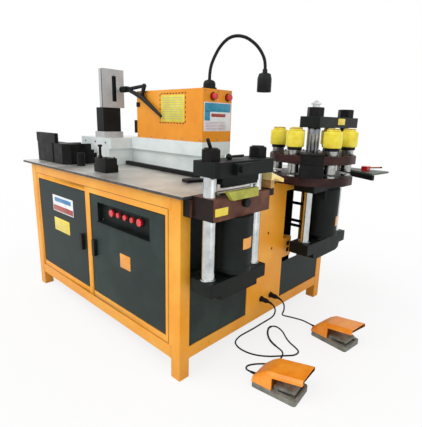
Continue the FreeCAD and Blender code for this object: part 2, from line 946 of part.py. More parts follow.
def make_die_frame():
    half = die_width / 2
    zs = (table_top, table_top + die_height)
    die = block(span(ram_middle, die_width), (die_front, die_back), zs)
    notch = prism([(ram_middle - die_notch_width / 2, die_back + overrun),
                   (ram_middle - ram_nose_tip_r, die_back - die_notch_depth),
                   (ram_middle + ram_nose_tip_r, die_back - die_notch_depth),
                   (ram_middle + die_notch_width / 2, die_back + overrun)],
                  table_top - overrun, die_height + 2 * overrun)
    die = front_chamfer(die, die_corner).cut(notch)
    solids = [die]
    for side in (-1, 1):
        outer = ram_middle + side * half
        low_x = min(outer, outer - side * tie_thickness)
        outline = [(die_back, table_top)]
        before = die_back
        for y, rise in tie_steps:
            outline += [(before, table_top + rise), (y, table_top + rise)]
            before = y
        outline.append((before, table_top))
        solids.append(profile(outline, lambda y, z: (low_x, y, z), (1, 0, 0), tie_thickness))
    left = ram_middle - half
    side_block = block((left - side_block_width, left), (die_front, die_front + side_block_depth), zs)
    key = block(span(left - side_block_width / 2, die_key_width),
                (die_front + side_block_depth, die_front + side_block_depth + die_key_height),
                (table_top, table_top + die_height - die_key_height))
    plate = block((tall_plate_left, tall_plate_left + tall_plate_width),
                  (die_front, die_front + tall_plate_thickness),
                  (table_top + die_height, table_top + tall_plate_height))
    solids += [front_chamfer(side_block, side_block_corner), key, rounded(plate, edge_round, (0, 1, 0))]
    stand = post(post_x, post_y, table_top, table_top + post_height, post_r)
    cap = post(post_x, post_y, table_top + post_height, table_top + post_height + post_cap_height, post_cap_r)
    solids.append(stand.fuse(cap))
    save("die_frame", *solids)


def roller_centre():
    return (roller_block_left + roller_from_left, roller_block_front + roller_from_front)


def make_roller_base():
    xs = (roller_block_left, roller_block_left + roller_block_width)
    ys = (roller_block_front, roller_block_front + roller_block_depth)
    step = roller_step
    lower = block(xs, ys, (table_top, table_top + roller_step_height))
    upper = block((xs[0] + step, xs[1] - step), (ys[0] + step, ys[1] - step),
                  (table_top + roller_step_height, table_top + roller_block_height))
    base = lower.fuse(upper)
    x, y = roller_centre()
    top = table_top + roller_block_height
    pin = post(x, y, top, top + roller_height + seat_gap, roller_pin_r)
    base = base.fuse(pin)
    (x0, y0), (x1, y1) = strip_start, strip_end
    along = math.hypot(x1 - x0, y1 - y0)
    strip = block((0, along), span(0, strip_width), (table_top, table_top + strip_height))
    strip = rounded(strip, edge_round, (1, 0, 0))
    strip.rotate(Vector(0, 0, 0), Vector(0, 0, 1), math.degrees(math.atan2(y1 - y0, x1 - x0)))
    strip.translate(Vector(x0, y0, 0))
    length, depth, height = rest_block_size
    rest = block(span(rest_block_middle[0], length), span(rest_block_middle[1], depth),
                 (table_top, table_top + height))
    rest = turned(rounded(rest, edge_round, (0, 0, 1)), *rest_block_middle, rest_block_deg)
    save("roller_base", base, strip, rest)


def make_roller():
    x, y = roller_centre()
    low = table_top + roller_block_height + seat_gap
    high = low + roller_height
    inner = roller_pin_r + running_fit
    spool = revolve([(inner, low), (roller_flange_r, low), (roller_flange_r, low + roller_flange),
                     (roller_r, low + 2 * roller_flange), (roller_r, high - 2 * roller_flange),
                     (roller_flange_r, high - roller_flange), (roller_flange_r, high), (inner, high)], x, y)
    save("guide_roller", spool)


def make_gauge():
    flange_top = head_top + gauge_flange_height
    block_top = flange_top + gauge_block_height
    xs = (gauge_x - gauge_block_length, gauge_x)
    ys = (gauge_y, gauge_y + gauge_block_depth)
    over = gauge_flange_over
    flange = block((xs[0] - over, xs[1] + over), (ys[0] - over, ys[1] + over), (head_top, flange_top))
    flange = rounded(flange, over, (0, 0, 1))
    body = rounded(block(xs, ys, (flange_top, block_top)), edge_round, (0, 0, 1))
    save("gauge_block", body)
    plate_x = (gauge_x - gauge_plate_thickness, gauge_x)
    plate_y = (gauge_y, gauge_y + gauge_plate_width)
    plate = block(plate_x, plate_y, (block_top, block_top + gauge_plate_height))
    plate = rounded(plate, edge_round, (1, 0, 0))
    middle = gauge_y + gauge_slot_offset
    half = gauge_slot_width / 2
    low = block_top + gauge_slot_low
    high = block_top + gauge_slot_high
    outline = [(middle - half, low), (middle + half, low), (middle + half, high),
               (middle, high + gauge_slot_width), (middle - half, high)]
    slot = profile(outline, lambda y, z: (gauge_x - gauge_slot_depth, y, z), (1, 0, 0),
                   gauge_slot_depth + overrun)
    plate = plate.cut(slot)
    stub_length = lever_root_x - gauge_x - lever_boss_r
    stub = bar((gauge_x, lever_y, lever_root_z), (1, 0, 0), stub_length, lever_stub_r)
    fork_y = (lever_y - lever_boss_width, lever_y + lever_boss_width)
    save("gauge_housing", flange, plate.fuse(stub).fuse(make_fork(fork_y)))


def make_fork(ys):
    # two cheeks at the end of the stub, with the pin that carries the lever
    start = lever_root_x - lever_boss_r - lever_stub_bore
    cheek = lever_boss_width / 3
    boss = lever_boss_width / 2 + seat_gap
    fork = None
    for y0, y1 in ((lever_y - boss - cheek, lever_y - boss), (lever_y + boss, lever_y + boss + cheek)):
        plate = block((start, lever_root_x + lever_stub_bore), (y0, y1), span(lever_root_z, lever_stub_r))
        fork = plate if fork is None else fork.fuse(plate)
    web = block((start, start + lever_stub_bore - seat_gap), (lever_y - boss - cheek, lever_y + boss + cheek),
                span(lever_root_z, lever_stub_r))
    pin = bar((lever_root_x, lever_y - boss - cheek, lever_root_z), (0, 1, 0), 2 * (boss + cheek),
              lever_stub_bore / 2)
    return fork.fuse(web).fuse(pin)


def taper(start, end, r0, r1):
    a = Vector(start[0], lever_y, start[1])
    b = Vector(end[0], lever_y, end[1])
    return Part.makeCone(r0, r1, b.sub(a).Length, a, b.sub(a))


def make_lever():
    boss = bar((lever_root_x, lever_y - lever_boss_width / 2, lever_root_z), (0, 1, 0),
               lever_boss_width, lever_stub_bore * 2)
    root = (lever_root_x, lever_root_z)
    arm = taper(root, lever_arm_end, lever_arm_r, lever_arm_r * taper_share)
    link = taper(lever_arm_end, lever_link_end, lever_link_r, lever_link_r * taper_share)
    handle = taper(root, lever_link_end, lever_arm_r * taper_share, lever_handle_thick_r)
    grip = taper(lever_link_end, lever_tip, lever_handle_thick_r, lever_handle_thin_r)
    knuckle = Part.makeSphere(lever_handle_thick_r, Vector(lever_link_end[0], lever_y, lever_link_end[1]))
    corner = Part.makeSphere(lever_link_r / taper_share, Vector(lever_arm_end[0], lever_y, lever_arm_end[1]))
    tip = Part.makeSphere(lever_handle_thin_r, Vector(lever_tip[0], lever_y, lever_tip[1]))
    lever = boss
    for piece in (arm, link, handle, grip, knuckle, corner, tip):
        lever = lever.fuse(piece)
    bore = bar((lever_root_x, lever_y - lever_boss_width, lever_root_z), (0, 1, 0),
               2 * lever_boss_width, lever_stub_bore / 2 + running_fit)
    save("gauge_lever", lever.cut(bore))


def make_control_box():
    box = block((box_left, housing_right), (housing_front, housing_back),
                (housing_top, housing_top + box_height))
    box = rounded(box, box_round, (0, 0, 1))
    inner = block((box_left + sheet, housing_right - sheet), (housing_front + sheet, housing_back - sheet),
                  (housing_top - overrun, housing_top + box_height - sheet))
    box = box.cut(inner)
    for y in box_button_y:
        box = box.cut(bar((housing_right - box_button_reach * 2, y, box_button_z), (1, 0, 0),
                          box_button_reach * 2 + overrun, box_button_r * button_stem_share + running_fit))
    rings = []
    for y in box_button_y:
        ring = bar((housing_right, y, box_button_z), (1, 0, 0), box_button_ring, box_button_ring_r)
        hole = bar((housing_right - overrun, y, box_button_z), (1, 0, 0), box_button_ring * 2,
                   box_button_r + seat_gap)
        rings.append(ring.cut(hole))
    save("control_box", box)
    make_box_fittings(rings)


def make_box_fittings(rings):
    plug = block((box_left - plug_width, box_left),
                 span(housing_front + plug_from_front + plug_length / 2, plug_length),
                 (housing_top + plug_low, housing_top + plug_low + plug_height))
    plug = rounded(plug, edge_round, (0, 0, 1))
    high = housing_top + box_height - clip_drop
    clip = block((box_left, box_left + clip_width), (housing_front - clip_thickness, housing_front),
                 (high, high + clip_height))
    clip = rounded(clip, edge_round, (0, 1, 0))
    box_top = housing_top + box_height
    flange_top = box_top + lamp_flange
    base = revolve([(0, box_top), (lamp_flange_r, box_top), (lamp_flange_r, flange_top),
                    (lamp_dome_r, flange_top),
                    (lamp_dome_r, flange_top + lamp_dome_height * dome_shares[0]),
                    (lamp_dome_r * dome_shares[1], flange_top + lamp_dome_height * dome_shares[2]),
                    (lamp_dome_top_r, flange_top + lamp_dome_height), (0, flange_top + lamp_dome_height)],
                   lamp_x, lamp_y)
    save("box_fittings", plug, clip, base, *rings)


def make_box_button(name, y):
    face = housing_right + box_button_travel + seat_gap
    cap = bar((face, y, box_button_z), (1, 0, 0), box_button_reach, box_button_r)
    cap = cap.makeFillet(box_button_ring, [e for e in cap.Edges if e.BoundBox.XMin > face + box_button_ring])
    stem = bar((housing_right - box_button_reach, y, box_button_z), (1, 0, 0),
               box_button_reach + box_button_travel + seat_gap, box_button_r * button_stem_share)
    save(name, cap.fuse(stem))


def make_lamp():
    low = housing_top + box_height + lamp_flange + lamp_dome_height
    cos = math.cos(math.radians(neck_heading_deg))
    sin = math.sin(math.radians(neck_heading_deg))
    route = []
    for along, up in neck_route_shares:
        reach = along * neck_reach
        route.append((lamp_x + reach * cos, lamp_y + reach * sin, low + up * neck_rise))
    save("lamp_neck", tube_along(route, neck_r, neck_arc_share, "lamp neck"))
    x, y, top = route[-1]
    shoulder = top - lampshade_neck - lampshade_height * lampshade_shoulder_share
    rim = top - lampshade_neck - lampshade_height
    wall = lampshade_wall
    shade = revolve([(0, top), (lampshade_top_r, top), (lampshade_top_r, top - lampshade_neck),
                     (lampshade_r * lampshade_top_share,
                      top - lampshade_neck - lampshade_height * lampshade_crown_share),
                     (lampshade_r, shoulder), (lampshade_r, rim), (lampshade_r - wall, rim),
                     (lampshade_r - wall, shoulder), (0, shoulder)], x, y)
    save("lamp_head", shade)


# Press stations

def make_yoke(xs, ys, zs, corner):
    plate = block(xs, ys, zs)
    outer = [e for e in edges_along(plate, (0, 0, 1)) if e.BoundBox.XMin > sum(xs) / 2]
    plate = plate.makeChamfer(corner, outer)
    return plate.makeFillet(yoke_round, [e for e in plate.Edges if e.BoundBox.ZMin > zs[1] - overrun])


def bored(shape, places, r, zs):
    for x, y in places:
        shape = shape.cut(post(x, y, zs[0] - overrun, zs[1] + overrun, r))
    return shape


def shear_places():
    return [(station_x, shear_near), (station_x, shear_far)]


def punch_places():
    return [(station_x, punch_near), (station_x, punch_far)]


def mount_blocks(places, zs):
    return [block((half_length, yoke_inner), (near, near + mount_width), zs) for near in places]


def make_shear_platform():
    xs = (yoke_inner, yoke_inner + shear_plate_width)
    ys = (shear_near - shear_margin, shear_far + shear_margin)
    zs = (shear_plate_low, shear_plate_top)
    plate = make_yoke(xs, ys, zs, edge_round)
    plate = bored(plate, shear_places(), shear_rod_r + running_fit, zs)
    plate = plate.cut(bar((xs[1] - knob_stem_seat, knob_y, knob_z), (1, 0, 0), knob_stem_seat + overrun,
                          knob_stem_r + running_fit))
    blade = block((shear_plane - blade_thickness, shear_plane - seat_gap), span(shear_middle, blade_length),
                  (shear_plate_top, shear_plate_top + lower_blade_height))
    high = frame_height - mount_drop
    mounts = mount_blocks((ys[0] - mount_over, ys[1] - mount_width), (high - mount_height, high))
    save("shear_platform", plate, blade, *mounts)


def make_cylinder(name, y, top, low, r, ram_r, ram_inside):
    body = revolve([(0, low), (r - cylinder_band, low), (r, low + cylinder_band),
                    (r, low + cylinder_band_height),
                    (r - cylinder_band, low + cylinder_band_height + cylinder_band),
                    (r - cylinder_band, top), (0, top)], station_x, y)
    bore = post(station_x, y, low - overrun, low + ram_inside + cylinder_band, ram_r + running_fit)
    return body.cut(bore)


def make_shear_cylinder():
    low = shear_foot_top + shear_cylinder_gap
    save("shear_cylinder", make_cylinder("shear", shear_middle, shear_plate_low, low, shear_cylinder_r,
                                         shear_ram_r, shear_ram_inside))


def make_shear_guard():
    # a plate on the outer face of the platform and a sloped bar rest on a post at its far end
    face = yoke_inner + shear_plate_width
    far = guard_near + guard_length
    high = guard_low + guard_height
    outline = [(guard_near + guard_slant, guard_low), (far, guard_low), (far, high), (guard_near, high)]
    guard = profile(outline, lambda y, z: (face, y, z), (1, 0, 0), guard_width)
    end = shear_far + shear_margin
    inner = end + rest_post_step
    top = table_top + rest_high
    fall = rest_length * rest_slope_share
    shape = [(end, table_top - rest_post_drop), (end + rest_post_depth, table_top - rest_post_drop),
             (end + rest_post_depth, top - rest_thickness - rest_post_depth * rest_slope_share),
             (inner + rest_length, top - rest_thickness - fall), (inner + rest_length, top - fall),
             (inner, top),
             (inner, table_top + rest_post_rise), (end, table_top + rest_post_rise)]
    wedge = profile(shape, lambda y, z: (face - rest_width, y, z), (1, 0, 0), rest_width)
    save("shear_guard", guard, wedge)


def make_shear_yokes():
    ys = (shear_near - shear_margin, shear_far + shear_margin)
    head_x = (yoke_inner, yoke_inner + shear_head_width)
    head_z = (shear_head_low, shear_head_low + shear_head_height)
    head = make_yoke(head_x, ys, head_z, yoke_chamfer)
    blade_low = shear_plate_top + lower_blade_height + blade_overlap_gap
    holder = block((shear_plane - blade_holder_width, shear_plane + blade_thickness),
                   span(shear_middle, blade_length + blade_holder_end),
                   (blade_low + upper_blade_height, shear_head_low))
    blade = block((shear_plane, shear_plane + blade_thickness), span(shear_middle, blade_length),
                  (blade_low, blade_low + upper_blade_height))
    face = head_x[1]
    mid_z = sum(head_z) / 2
    cover = block((face, face + head_box_depth), (head_box_near, head_box_near + head_box_length),
                  span(mid_z, head_box_height))
    cover = rounded(cover, edge_round, (1, 0, 0))
    knob = bar((face + head_box_depth, head_box_near + head_box_knob_r * 2, mid_z), (1, 0, 0),
               head_box_knob_depth, head_box_knob_r)
    head = bored(head.fuse(holder).fuse(blade).fuse(cover).fuse(knob), shear_places(), shear_rod_r, head_z)
    bar_z = head_z[1] + handle_post_height
    handle = post(handle_x, handle_y + handle_knob_r, head_z[1], bar_z, handle_bar_r)
    cross = bar((handle_x, handle_y, bar_z), (0, 1, 0), handle_bar_length, handle_bar_r)
    ball = Part.makeSphere(handle_knob_r, Vector(handle_x, handle_y, bar_z))
    head = head.fuse([handle, cross, ball])
    foot_x = (yoke_inner, yoke_inner + shear_plate_width)
    foot_z = (shear_foot_low, shear_foot_top)
    foot = make_yoke(foot_x, ys, foot_z, edge_round)
    boss = block(foot_x, span(shear_middle, shear_boss_length),
                 (shear_foot_low - shear_boss_height, shear_foot_low))
    foot = bored(foot.fuse(boss), shear_places(), shear_rod_r, foot_z)
    save("shear_yokes", head, foot)


def make_shear_rods():
    head_top = shear_head_low + shear_head_height
    solids = []
    for x, y in shear_places():
        rod = post(x, y, shear_foot_low, head_top + shear_nut_height + handle_bar_r, shear_rod_r)
        collar = post(x, y, shear_foot_top, shear_foot_top + rod_collar_height, rod_collar_r)
        solids.append(rod.fuse(collar))
    ram = post(station_x, shear_middle, shear_foot_top, shear_foot_top + shear_ram_inside, shear_ram_r)
    solids.append(ram)
    save("shear_rods", *solids)


def ring_nuts(places, low, height, flats, rod_r):
    nuts = []
    for x, y in places:
        ring = turned(nut(x, y, low, height, flats), x, y, nut_turn_deg)
        nuts.append(bored(ring, [(x, y)], rod_r, (low, low + height)))
    return nuts


def make_shear_nuts():
    head_top = shear_head_low + shear_head_height
    nuts = ring_nuts(shear_places(), head_top, shear_nut_height, shear_nut_flats, shear_rod_r)
    x, y = shear_places()[0]
    top = head_top + shear_nut_height + handle_bar_r
    reach = short_lever_height
    stick = bar((x, y, top - short_lever_r), (0, -short_lever_lean_share, 1), reach, short_lever_r)
    nuts.append(stick.cut(block((x - reach, x + reach), (y - reach, y + reach), (top - reach, top))))
    save("shear_nuts", *nuts)


def make_shear_knob():
    face = yoke_inner + shear_plate_width
    head = bar((face + seat_gap, knob_y, knob_z), (1, 0, 0), knob_length, knob_r)
    head = head.makeFillet(edge_round, [e for e in head.Edges if e.BoundBox.XMin > face + knob_length / 2])
    for k in range(8):
        angle = math.radians(45 * k)
        reach = knob_r + edge_round / 2
        groove = bar((face, knob_y + reach * math.cos(angle), knob_z + reach * math.sin(angle)), (1, 0, 0),
                     knob_length * 2, edge_round)
        head = head.cut(groove)
    stem = bar((face - knob_stem_seat + seat_gap, knob_y, knob_z), (1, 0, 0), knob_stem_seat, knob_stem_r)
    save("shear_knob", head.fuse(stem))


def make_punch_platform():
    xs = (yoke_inner, yoke_inner + punch_plate_width)
    ys = (punch_near - punch_margin, punch_far + punch_margin)
    zs = (punch_plate_low, punch_plate_top)
    plate = make_yoke(xs, ys, zs, edge_round)
    plate = bored(plate, punch_places(), punch_rod_r + running_fit, zs)
    seat = (punch_plate_top, lower_plate_low - seat_gap)
    ring = post(station_x, punch_near, *seat, punch_margin - seat_gap)
    ring = ring.cut(post(station_x, punch_near, seat[0] - overrun, seat[1] + overrun,
                         punch_sleeve_r + seat_gap * 2))
    anvil = post(station_x, punch_middle, *seat, anvil_r)
    plate = plate.fuse(ring).fuse(anvil)
    (x0, y0), (x1, y1) = side_table_points[0], side_table_points[1]
    under = die_top - side_table_thickness
    stand = block((side_table_inner, side_table_inner + side_post_width),
                  (side_post_near, side_post_near + side_post_length), (punch_plate_top, under))
    along = math.hypot(x1 - x0, y1 - y0)
    rail = block((0, along), (0, side_bar_width), (under - side_bar_height, under))
    rail.rotate(Vector(0, 0, 0), Vector(0, 0, 1), math.degrees(math.atan2(y1 - y0, x1 - x0)))
    rail.translate(Vector(x0, y0, 0))
    mounts = mount_blocks((punch_middle - mount_width * 2, ys[1] - mount_width), zs)
    save("punch_platform", plate, stand.fuse(rail), *mounts)


def make_punch_cylinder():
    low = punch_foot_top + punch_cylinder_gap
    body = make_cylinder("punch", punch_middle, punch_plate_low, low, punch_cylinder_r, punch_ram_r,
                         punch_ram_inside)
    collar = block(span(station_x, punch_plate_width - edge_round * 2), span(punch_middle, punch_collar_side),
                   (punch_plate_low - punch_collar_height, punch_plate_low))
    collar = rounded(collar, weld_round, (0, 0, 1))
    save("punch_cylinder", body.fuse(collar))


def make_punch_yokes():
    ys = (punch_near - punch_margin, punch_far + punch_margin)
    head_x = span(station_x, punch_head_width)
    head_z = (punch_head_low, punch_head_low + punch_head_height)
    head = make_yoke(head_x, ys, head_z, edge_round)
    head = bored(head, punch_places(), punch_rod_r, head_z)
    foot_x = (yoke_inner, yoke_inner + shear_plate_width)
    foot_z = (punch_foot_low, punch_foot_top)
    foot = make_yoke(foot_x, ys, foot_z, edge_round)
    half = punch_boss_length / 2
    low = punch_foot_low - punch_boss_height
    lean = punch_boss_height
    belly = profile([(punch_middle - half, punch_foot_low), (punch_middle - half + lean / 4, low + lean / 4),
                     (punch_middle - half + lean, low), (punch_middle + half - lean, low),
                     (punch_middle + half - lean / 4, low + lean / 4), (punch_middle + half, punch_foot_low)],
                    lambda y, z: (foot_x[0], y, z), (1, 0, 0), shear_plate_width)
    foot = bored(foot.fuse(belly), punch_places(), punch_rod_r, foot_z)
    save("punch_yokes", head, foot)


def make_punch_rods():
    head_top = punch_head_low + punch_head_height
    tip = head_top + punch_nut_height
    near = revolve([(0, punch_foot_low), (punch_rod_r, punch_foot_low), (punch_rod_r, punch_shoulder_z),
                    (punch_sleeve_r, punch_shoulder_z), (punch_sleeve_r, punch_head_low),
                    (punch_rod_r, punch_head_low), (punch_rod_r, tip), (0, tip)], station_x, punch_near)
    far = post(station_x, punch_far, punch_foot_low, tip, punch_rod_r)
    near = near.fuse(post(station_x, punch_near, punch_foot_top, punch_foot_top + rod_collar_height,
                          rod_collar_r))
    far = far.fuse(post(station_x, punch_far, punch_foot_top, punch_foot_top + rod_collar_height,
                        rod_collar_r))
    ram = post(station_x, punch_middle, punch_foot_top, punch_foot_top + punch_ram_inside, punch_ram_r)
    neck = post(station_x, punch_near, tip, tip + top_bolt_height, top_bolt_r)
    cap = nut(station_x, punch_near, tip + top_bolt_height, top_bolt_head, top_bolt_flats)
    peak = Part.makeCone(top_bolt_r, top_bolt_r / 3, top_bolt_peak,
                         Vector(station_x, punch_near, tip + top_bolt_height + top_bolt_head))
    save("punch_rods", near.fuse(neck).fuse(cap).fuse(peak), far, ram)


def make_punch_nuts():
    head_top = punch_head_low + punch_head_height
    save("punch_nuts", *ring_nuts(punch_places(), head_top, punch_nut_height, punch_nut_flats, punch_rod_r))


def tool_places():
    # the first tool is the one under the press head
    places = []
    for k in range(tool_count):
        angle = math.radians(turn_deg / 4 + turn_deg * k / tool_count)
        places.append((station_x + tool_circle_r * math.cos(angle),
                       punch_near + tool_circle_r * math.sin(angle)))
    return places


def turret_outline(r):
    # a hexagon with a flat at each tool and its corners cut off
    points = []
    for k in range(tool_count):
        corner = turn_deg * (k + 1) / tool_count
        for side in (-1, 1):
            angle = math.radians(corner + side * plate_corner_deg)
            points.append((station_x + r * math.cos(angle), punch_near + r * math.sin(angle)))
    return points


def make_turret_plates():
    upper = prism(turret_outline(upper_plate_r), upper_plate_low, upper_plate_height)
    lower = prism(turret_outline(lower_plate_r), lower_plate_low, lower_plate_height)
    centre = [(station_x, punch_near)]
    upper = bored(upper, centre, punch_sleeve_r + running_fit, (upper_plate_low, upper_plate_top))
    lower = bored(lower, centre, punch_sleeve_r + running_fit, (lower_plate_low, lower_plate_top))
    upper = bored(upper, tool_places(), guide_core_r, (upper_plate_low, upper_plate_top))
    lower = bored(lower, tool_places(), slug_hole_r, (lower_plate_low, lower_plate_top))
    for x, y in tool_places():
        lower = lower.cut(post(x, y, lower_plate_low + die_seat, lower_plate_top + overrun, die_r))
    save("turret_plates", upper, lower)


def make_turret_hub():
    hub = post(station_x, punch_near, lower_plate_top, upper_plate_low, hub_r)
    hub = bored(hub, [(station_x, punch_near)], punch_sleeve_r + running_fit,
                (lower_plate_top, upper_plate_low))
    spine = block((spine_inner, spine_outer), span(0, spine_width), (lower_plate_top, upper_plate_low))
    spine = rounded(spine, weld_round, (0, 0, 1))
    cap = block((spine_inner, spine_outer), span(0, spine_width),
                (upper_plate_top, upper_plate_top + spine_rise))
    cap = rounded(cap, weld_round, (0, 0, 1))
    pieces = [hub]
    for piece in (spine, cap):
        piece.rotate(Vector(0, 0, 0), Vector(0, 0, 1), spine_deg)
        piece.translate(Vector(station_x, punch_near, 0))
        pieces.append(piece)
    pieces[1] = pieces[1].cut(post(station_x, punch_near, lower_plate_low, upper_plate_top, hub_r))
    pieces[0] = pieces[0].fuse(pieces[1])
    save("turret_hub", pieces[0], pieces[2])


def make_tool_guide(x, y):
    inner = stem_r + stem_clear
    low = upper_plate_low - guide_drop
    ring_low = upper_plate_top + guide_top_height
    return revolve([(inner, low), (guide_r, low), (guide_r, upper_plate_low), (guide_core_r, upper_plate_low),
                    (guide_core_r, upper_plate_top), (guide_top_r, upper_plate_top), (guide_top_r, ring_low),
                    (guide_ring_r, ring_low), (guide_ring_r, ring_low + guide_ring_height),
                    (inner, ring_low + guide_ring_height)], x, y)


def make_punch(x, y):
    tip_high = punch_tip_low + punch_tip_height
    cap_mid = (cap_low + cap_top) / 2
    return revolve([(0, punch_tip_low), (punch_tip_r, punch_tip_low), (punch_tip_r, tip_high),
                    (stem_r, tip_high),
                    (stem_r, cap_low), (punch_cap_r, cap_low), (punch_cap_r, cap_mid),
                    (punch_cap_r * cap_crown_share, cap_top), (0, cap_top)], x, y)


def make_elastomer(x, y):
    inner = stem_r + stem_clear
    quarter = elastomer_height / 4
    waist = elastomer_r - elastomer_waist
    return revolve([(inner, elastomer_low), (waist, elastomer_low),
                    (elastomer_r, elastomer_low + quarter / 2),
                    (elastomer_r, elastomer_top - quarter / 2), (waist, elastomer_top),
                    (inner, elastomer_top)], x, y)


def make_die(x, y):
    seat = lower_plate_low + die_seat
    body = revolve([(die_hole_r, seat), (die_r, seat), (die_r, lower_plate_top),
                    (die_r * die_crown_share, die_top), (die_hole_r, die_top)], x, y)
    return body


def make_tools():
    places = tool_places()
    save("punch_guides", *[make_tool_guide(x, y) for x, y in places])
    save("dies", *[make_die(x, y) for x, y in places])
    save("punches", *[make_punch(x, y) for x, y in places[1:]])
    save("elastomers", *[make_elastomer(x, y) for x, y in places[1:]])
    save("active_punch", make_punch(*places[0]))
    save("active_elastomer", make_elastomer(*places[0]))


def make_side_table():
    top = prism(side_table_points, die_top - side_table_thickness, side_table_thickness)
    slot = block((stop_x - stop_travel - stop_length / 2, stop_x + stop_travel + stop_length / 2),
                 span(stop_y, stop_slot), (die_top - stop_key_depth - seat_gap, die_top + overrun))
    save("side_table", top.cut(slot))
    body = block(span(stop_x, stop_length), span(stop_y, stop_width),
                 (die_top + seat_gap, die_top + stop_height))
    body = body.makeFillet(edge_round, edges_along(body, (0, 1, 0)))
    key = block(span(stop_x, stop_length / 2), span(stop_y, stop_slot - seat_gap * 2),
                (die_top - stop_key_depth, die_top + edge_round * 2))
    rod = bar((stop_x + stop_length / 2 - overrun, stop_y, die_top + stop_height * stop_rod_share),
              (1, 0, stop_rod_lean_share),
              stop_rod_length, stop_rod_r)
    save("table_stop", body.fuse(key).fuse(rod))


# Inside the cabinet

def make_hydraulics():
    low = rail_low + pan_sheet
    top = low + tank_height
    tank = block((tank_left, tank_right), (tank_front, tank_back), (low, top))
    tank = rounded(tank, weld_round * 2, (0, 0, 1))
    inner = block((tank_left + sheet, tank_right - sheet), (tank_front + sheet, tank_back - sheet),
                  (low - overrun, top - sheet))
    save("oil_tank", tank.cut(inner))
    flange = post(motor_x, motor_y, top, top + motor_flange, motor_flange_r)
    barrel = post(motor_x, motor_y, top + motor_flange, top + motor_flange + motor_height, motor_r)
    motor = flange.fuse(barrel)
    for k in range(motor_fin_count):
        fin = block((motor_r - motor_fin, motor_r + motor_fin), span(0, motor_fin_thickness),
                    (top + motor_flange, top + motor_height))
        fin.rotate(Vector(0, 0, 0), Vector(0, 0, 1), turn_deg * k / motor_fin_count)
        fin.translate(Vector(motor_x, motor_y, 0))
        motor = motor.fuse(fin)
    valve_x = (valve_left, valve_left + valve_width)
    manifold = block(valve_x, (valve_near, valve_near + valve_length), (top, top + valve_height))
    for k in range(3):
        y = valve_near + solenoid_first + k * solenoid_pitch
        coil = bar((valve_x[0] - solenoid_length, y, top + valve_height * coil_rise_share), (1, 0, 0),
                   valve_width + 2 * solenoid_length, solenoid_r)
        manifold = manifold.fuse(coil)
    save("power_pack", motor, manifold)
    make_pipes(top)


def make_pipes(top):
    # three lines out of the manifold, up, and across the open bay to the punch cylinder
    solids = []
    low = top + valve_height * pipe_seat_share
    reach = station_x - punch_cylinder_r
    band_top = punch_foot_top + punch_cylinder_gap + cylinder_band_height + cylinder_band
    for k, level in enumerate(pipe_levels):
        y = valve_near + valve_length - pipe_pitch * (k + 1)
        x = pipe_rise_x - k * pipe_pitch
        end = reach + cylinder_band if level > band_top else reach
        route = [(valve_left + valve_width, y, low), (x, y, low), (x, y, level),
                 (x, punch_middle, level), (end, punch_middle, level)]
        solids.append(bent_pipe(route, pipe_r, pipe_bend_r))
    save("hydraulic_pipes", *solids)


def bent_pipe(route, radius, bend):
    points = [Vector(*p) for p in route]
    edges = []
    start = points[0]
    for before, corner, after in zip(points, points[1:], points[2:]):
        into = corner.sub(before)
        out = after.sub(corner)
        into.normalize()
        out.normalize()
        turn = into.getAngle(out)
        cut = bend * math.tan(turn / 2)
        first = corner.sub(into * cut)
        last = corner.add(out * cut)
        bisector = out.sub(into)
        bisector.normalize()
        middle = corner.add(bisector * (bend / math.cos(turn / 2) - bend))
        edges.append(Part.LineSegment(start, first).toShape())
        edges.append(Part.Arc(first, middle, last).toShape())
        start = last
    edges.append(Part.LineSegment(start, points[-1]).toShape())
    path = Part.Wire(edges)
    ring = Part.Wire(Part.makeCircle(radius, points[0], points[1].sub(points[0])))
    return path.makePipeShell([ring], True, False)


# Foot switches and their cables

def make_sockets():
    solids = []
    for y, z in socket_places:
        flange = bar((half_length, y, z), (1, 0, 0), socket_flange, socket_flange_r)
        shell = bar((half_length + socket_flange, y, z), (1, 0, 0), socket_length, socket_r)
        tail = Part.makeCone(socket_r, socket_tail_r, socket_tail,
                             Vector(half_length + socket_flange + socket_length, y, z), Vector(1, 0, 0))
        solids.append(flange.fuse(shell).fuse(tail))
    save("cable_sockets", *solids)


def place_switch(shape, where):
    x, y, heading = where
    shape.rotate(Vector(0, 0, 0), Vector(0, 0, 1), heading)
    shape.translate(Vector(x, y, 0))
    return shape


def make_switch_base():
    half = switch_length / 2
    base = block((-half, half), span(0, switch_width), (0, switch_base_height))
    base = rounded(base, switch_round, (0, 0, 1))
    well = block((-half + switch_length * hood_back_share + hood_wall, half - hood_wall * 2),
                 span(0, pedal_width + hood_wall * 2),
                 (switch_base_height * well_share, switch_base_height + overrun))
    base = base.cut(well)
    gland = bar((-half - switch_gland, 0, gland_height), (1, 0, 0), switch_gland + hood_wall, switch_gland_r)
    base = base.fuse(gland)
    pin_x, pin_z = pedal_pin()
    ears = None
    for side in (-1, 1):
        ys = sorted((side * (pedal_width / 2 + seat_gap), side * (pedal_width / 2 + hood_wall)))
        ear = block(span(pin_x, pedal_pin_r * 4), ys,
                    (switch_base_height * well_share, pin_z + pedal_pin_r * 2))
        ears = ear if ears is None else ears.fuse(ear)
    pin = bar((pin_x, -pedal_width / 2 - hood_wall, pin_z), (0, 1, 0), pedal_width + 2 * hood_wall,
              pedal_pin_r)
    return base.fuse(ears).fuse(pin)


def pedal_pin():
    seam = -switch_length / 2 + switch_length * hood_back_share
    return (seam + pedal_pin_r * 3, switch_base_height + pedal_pin_r * pedal_rise_share)


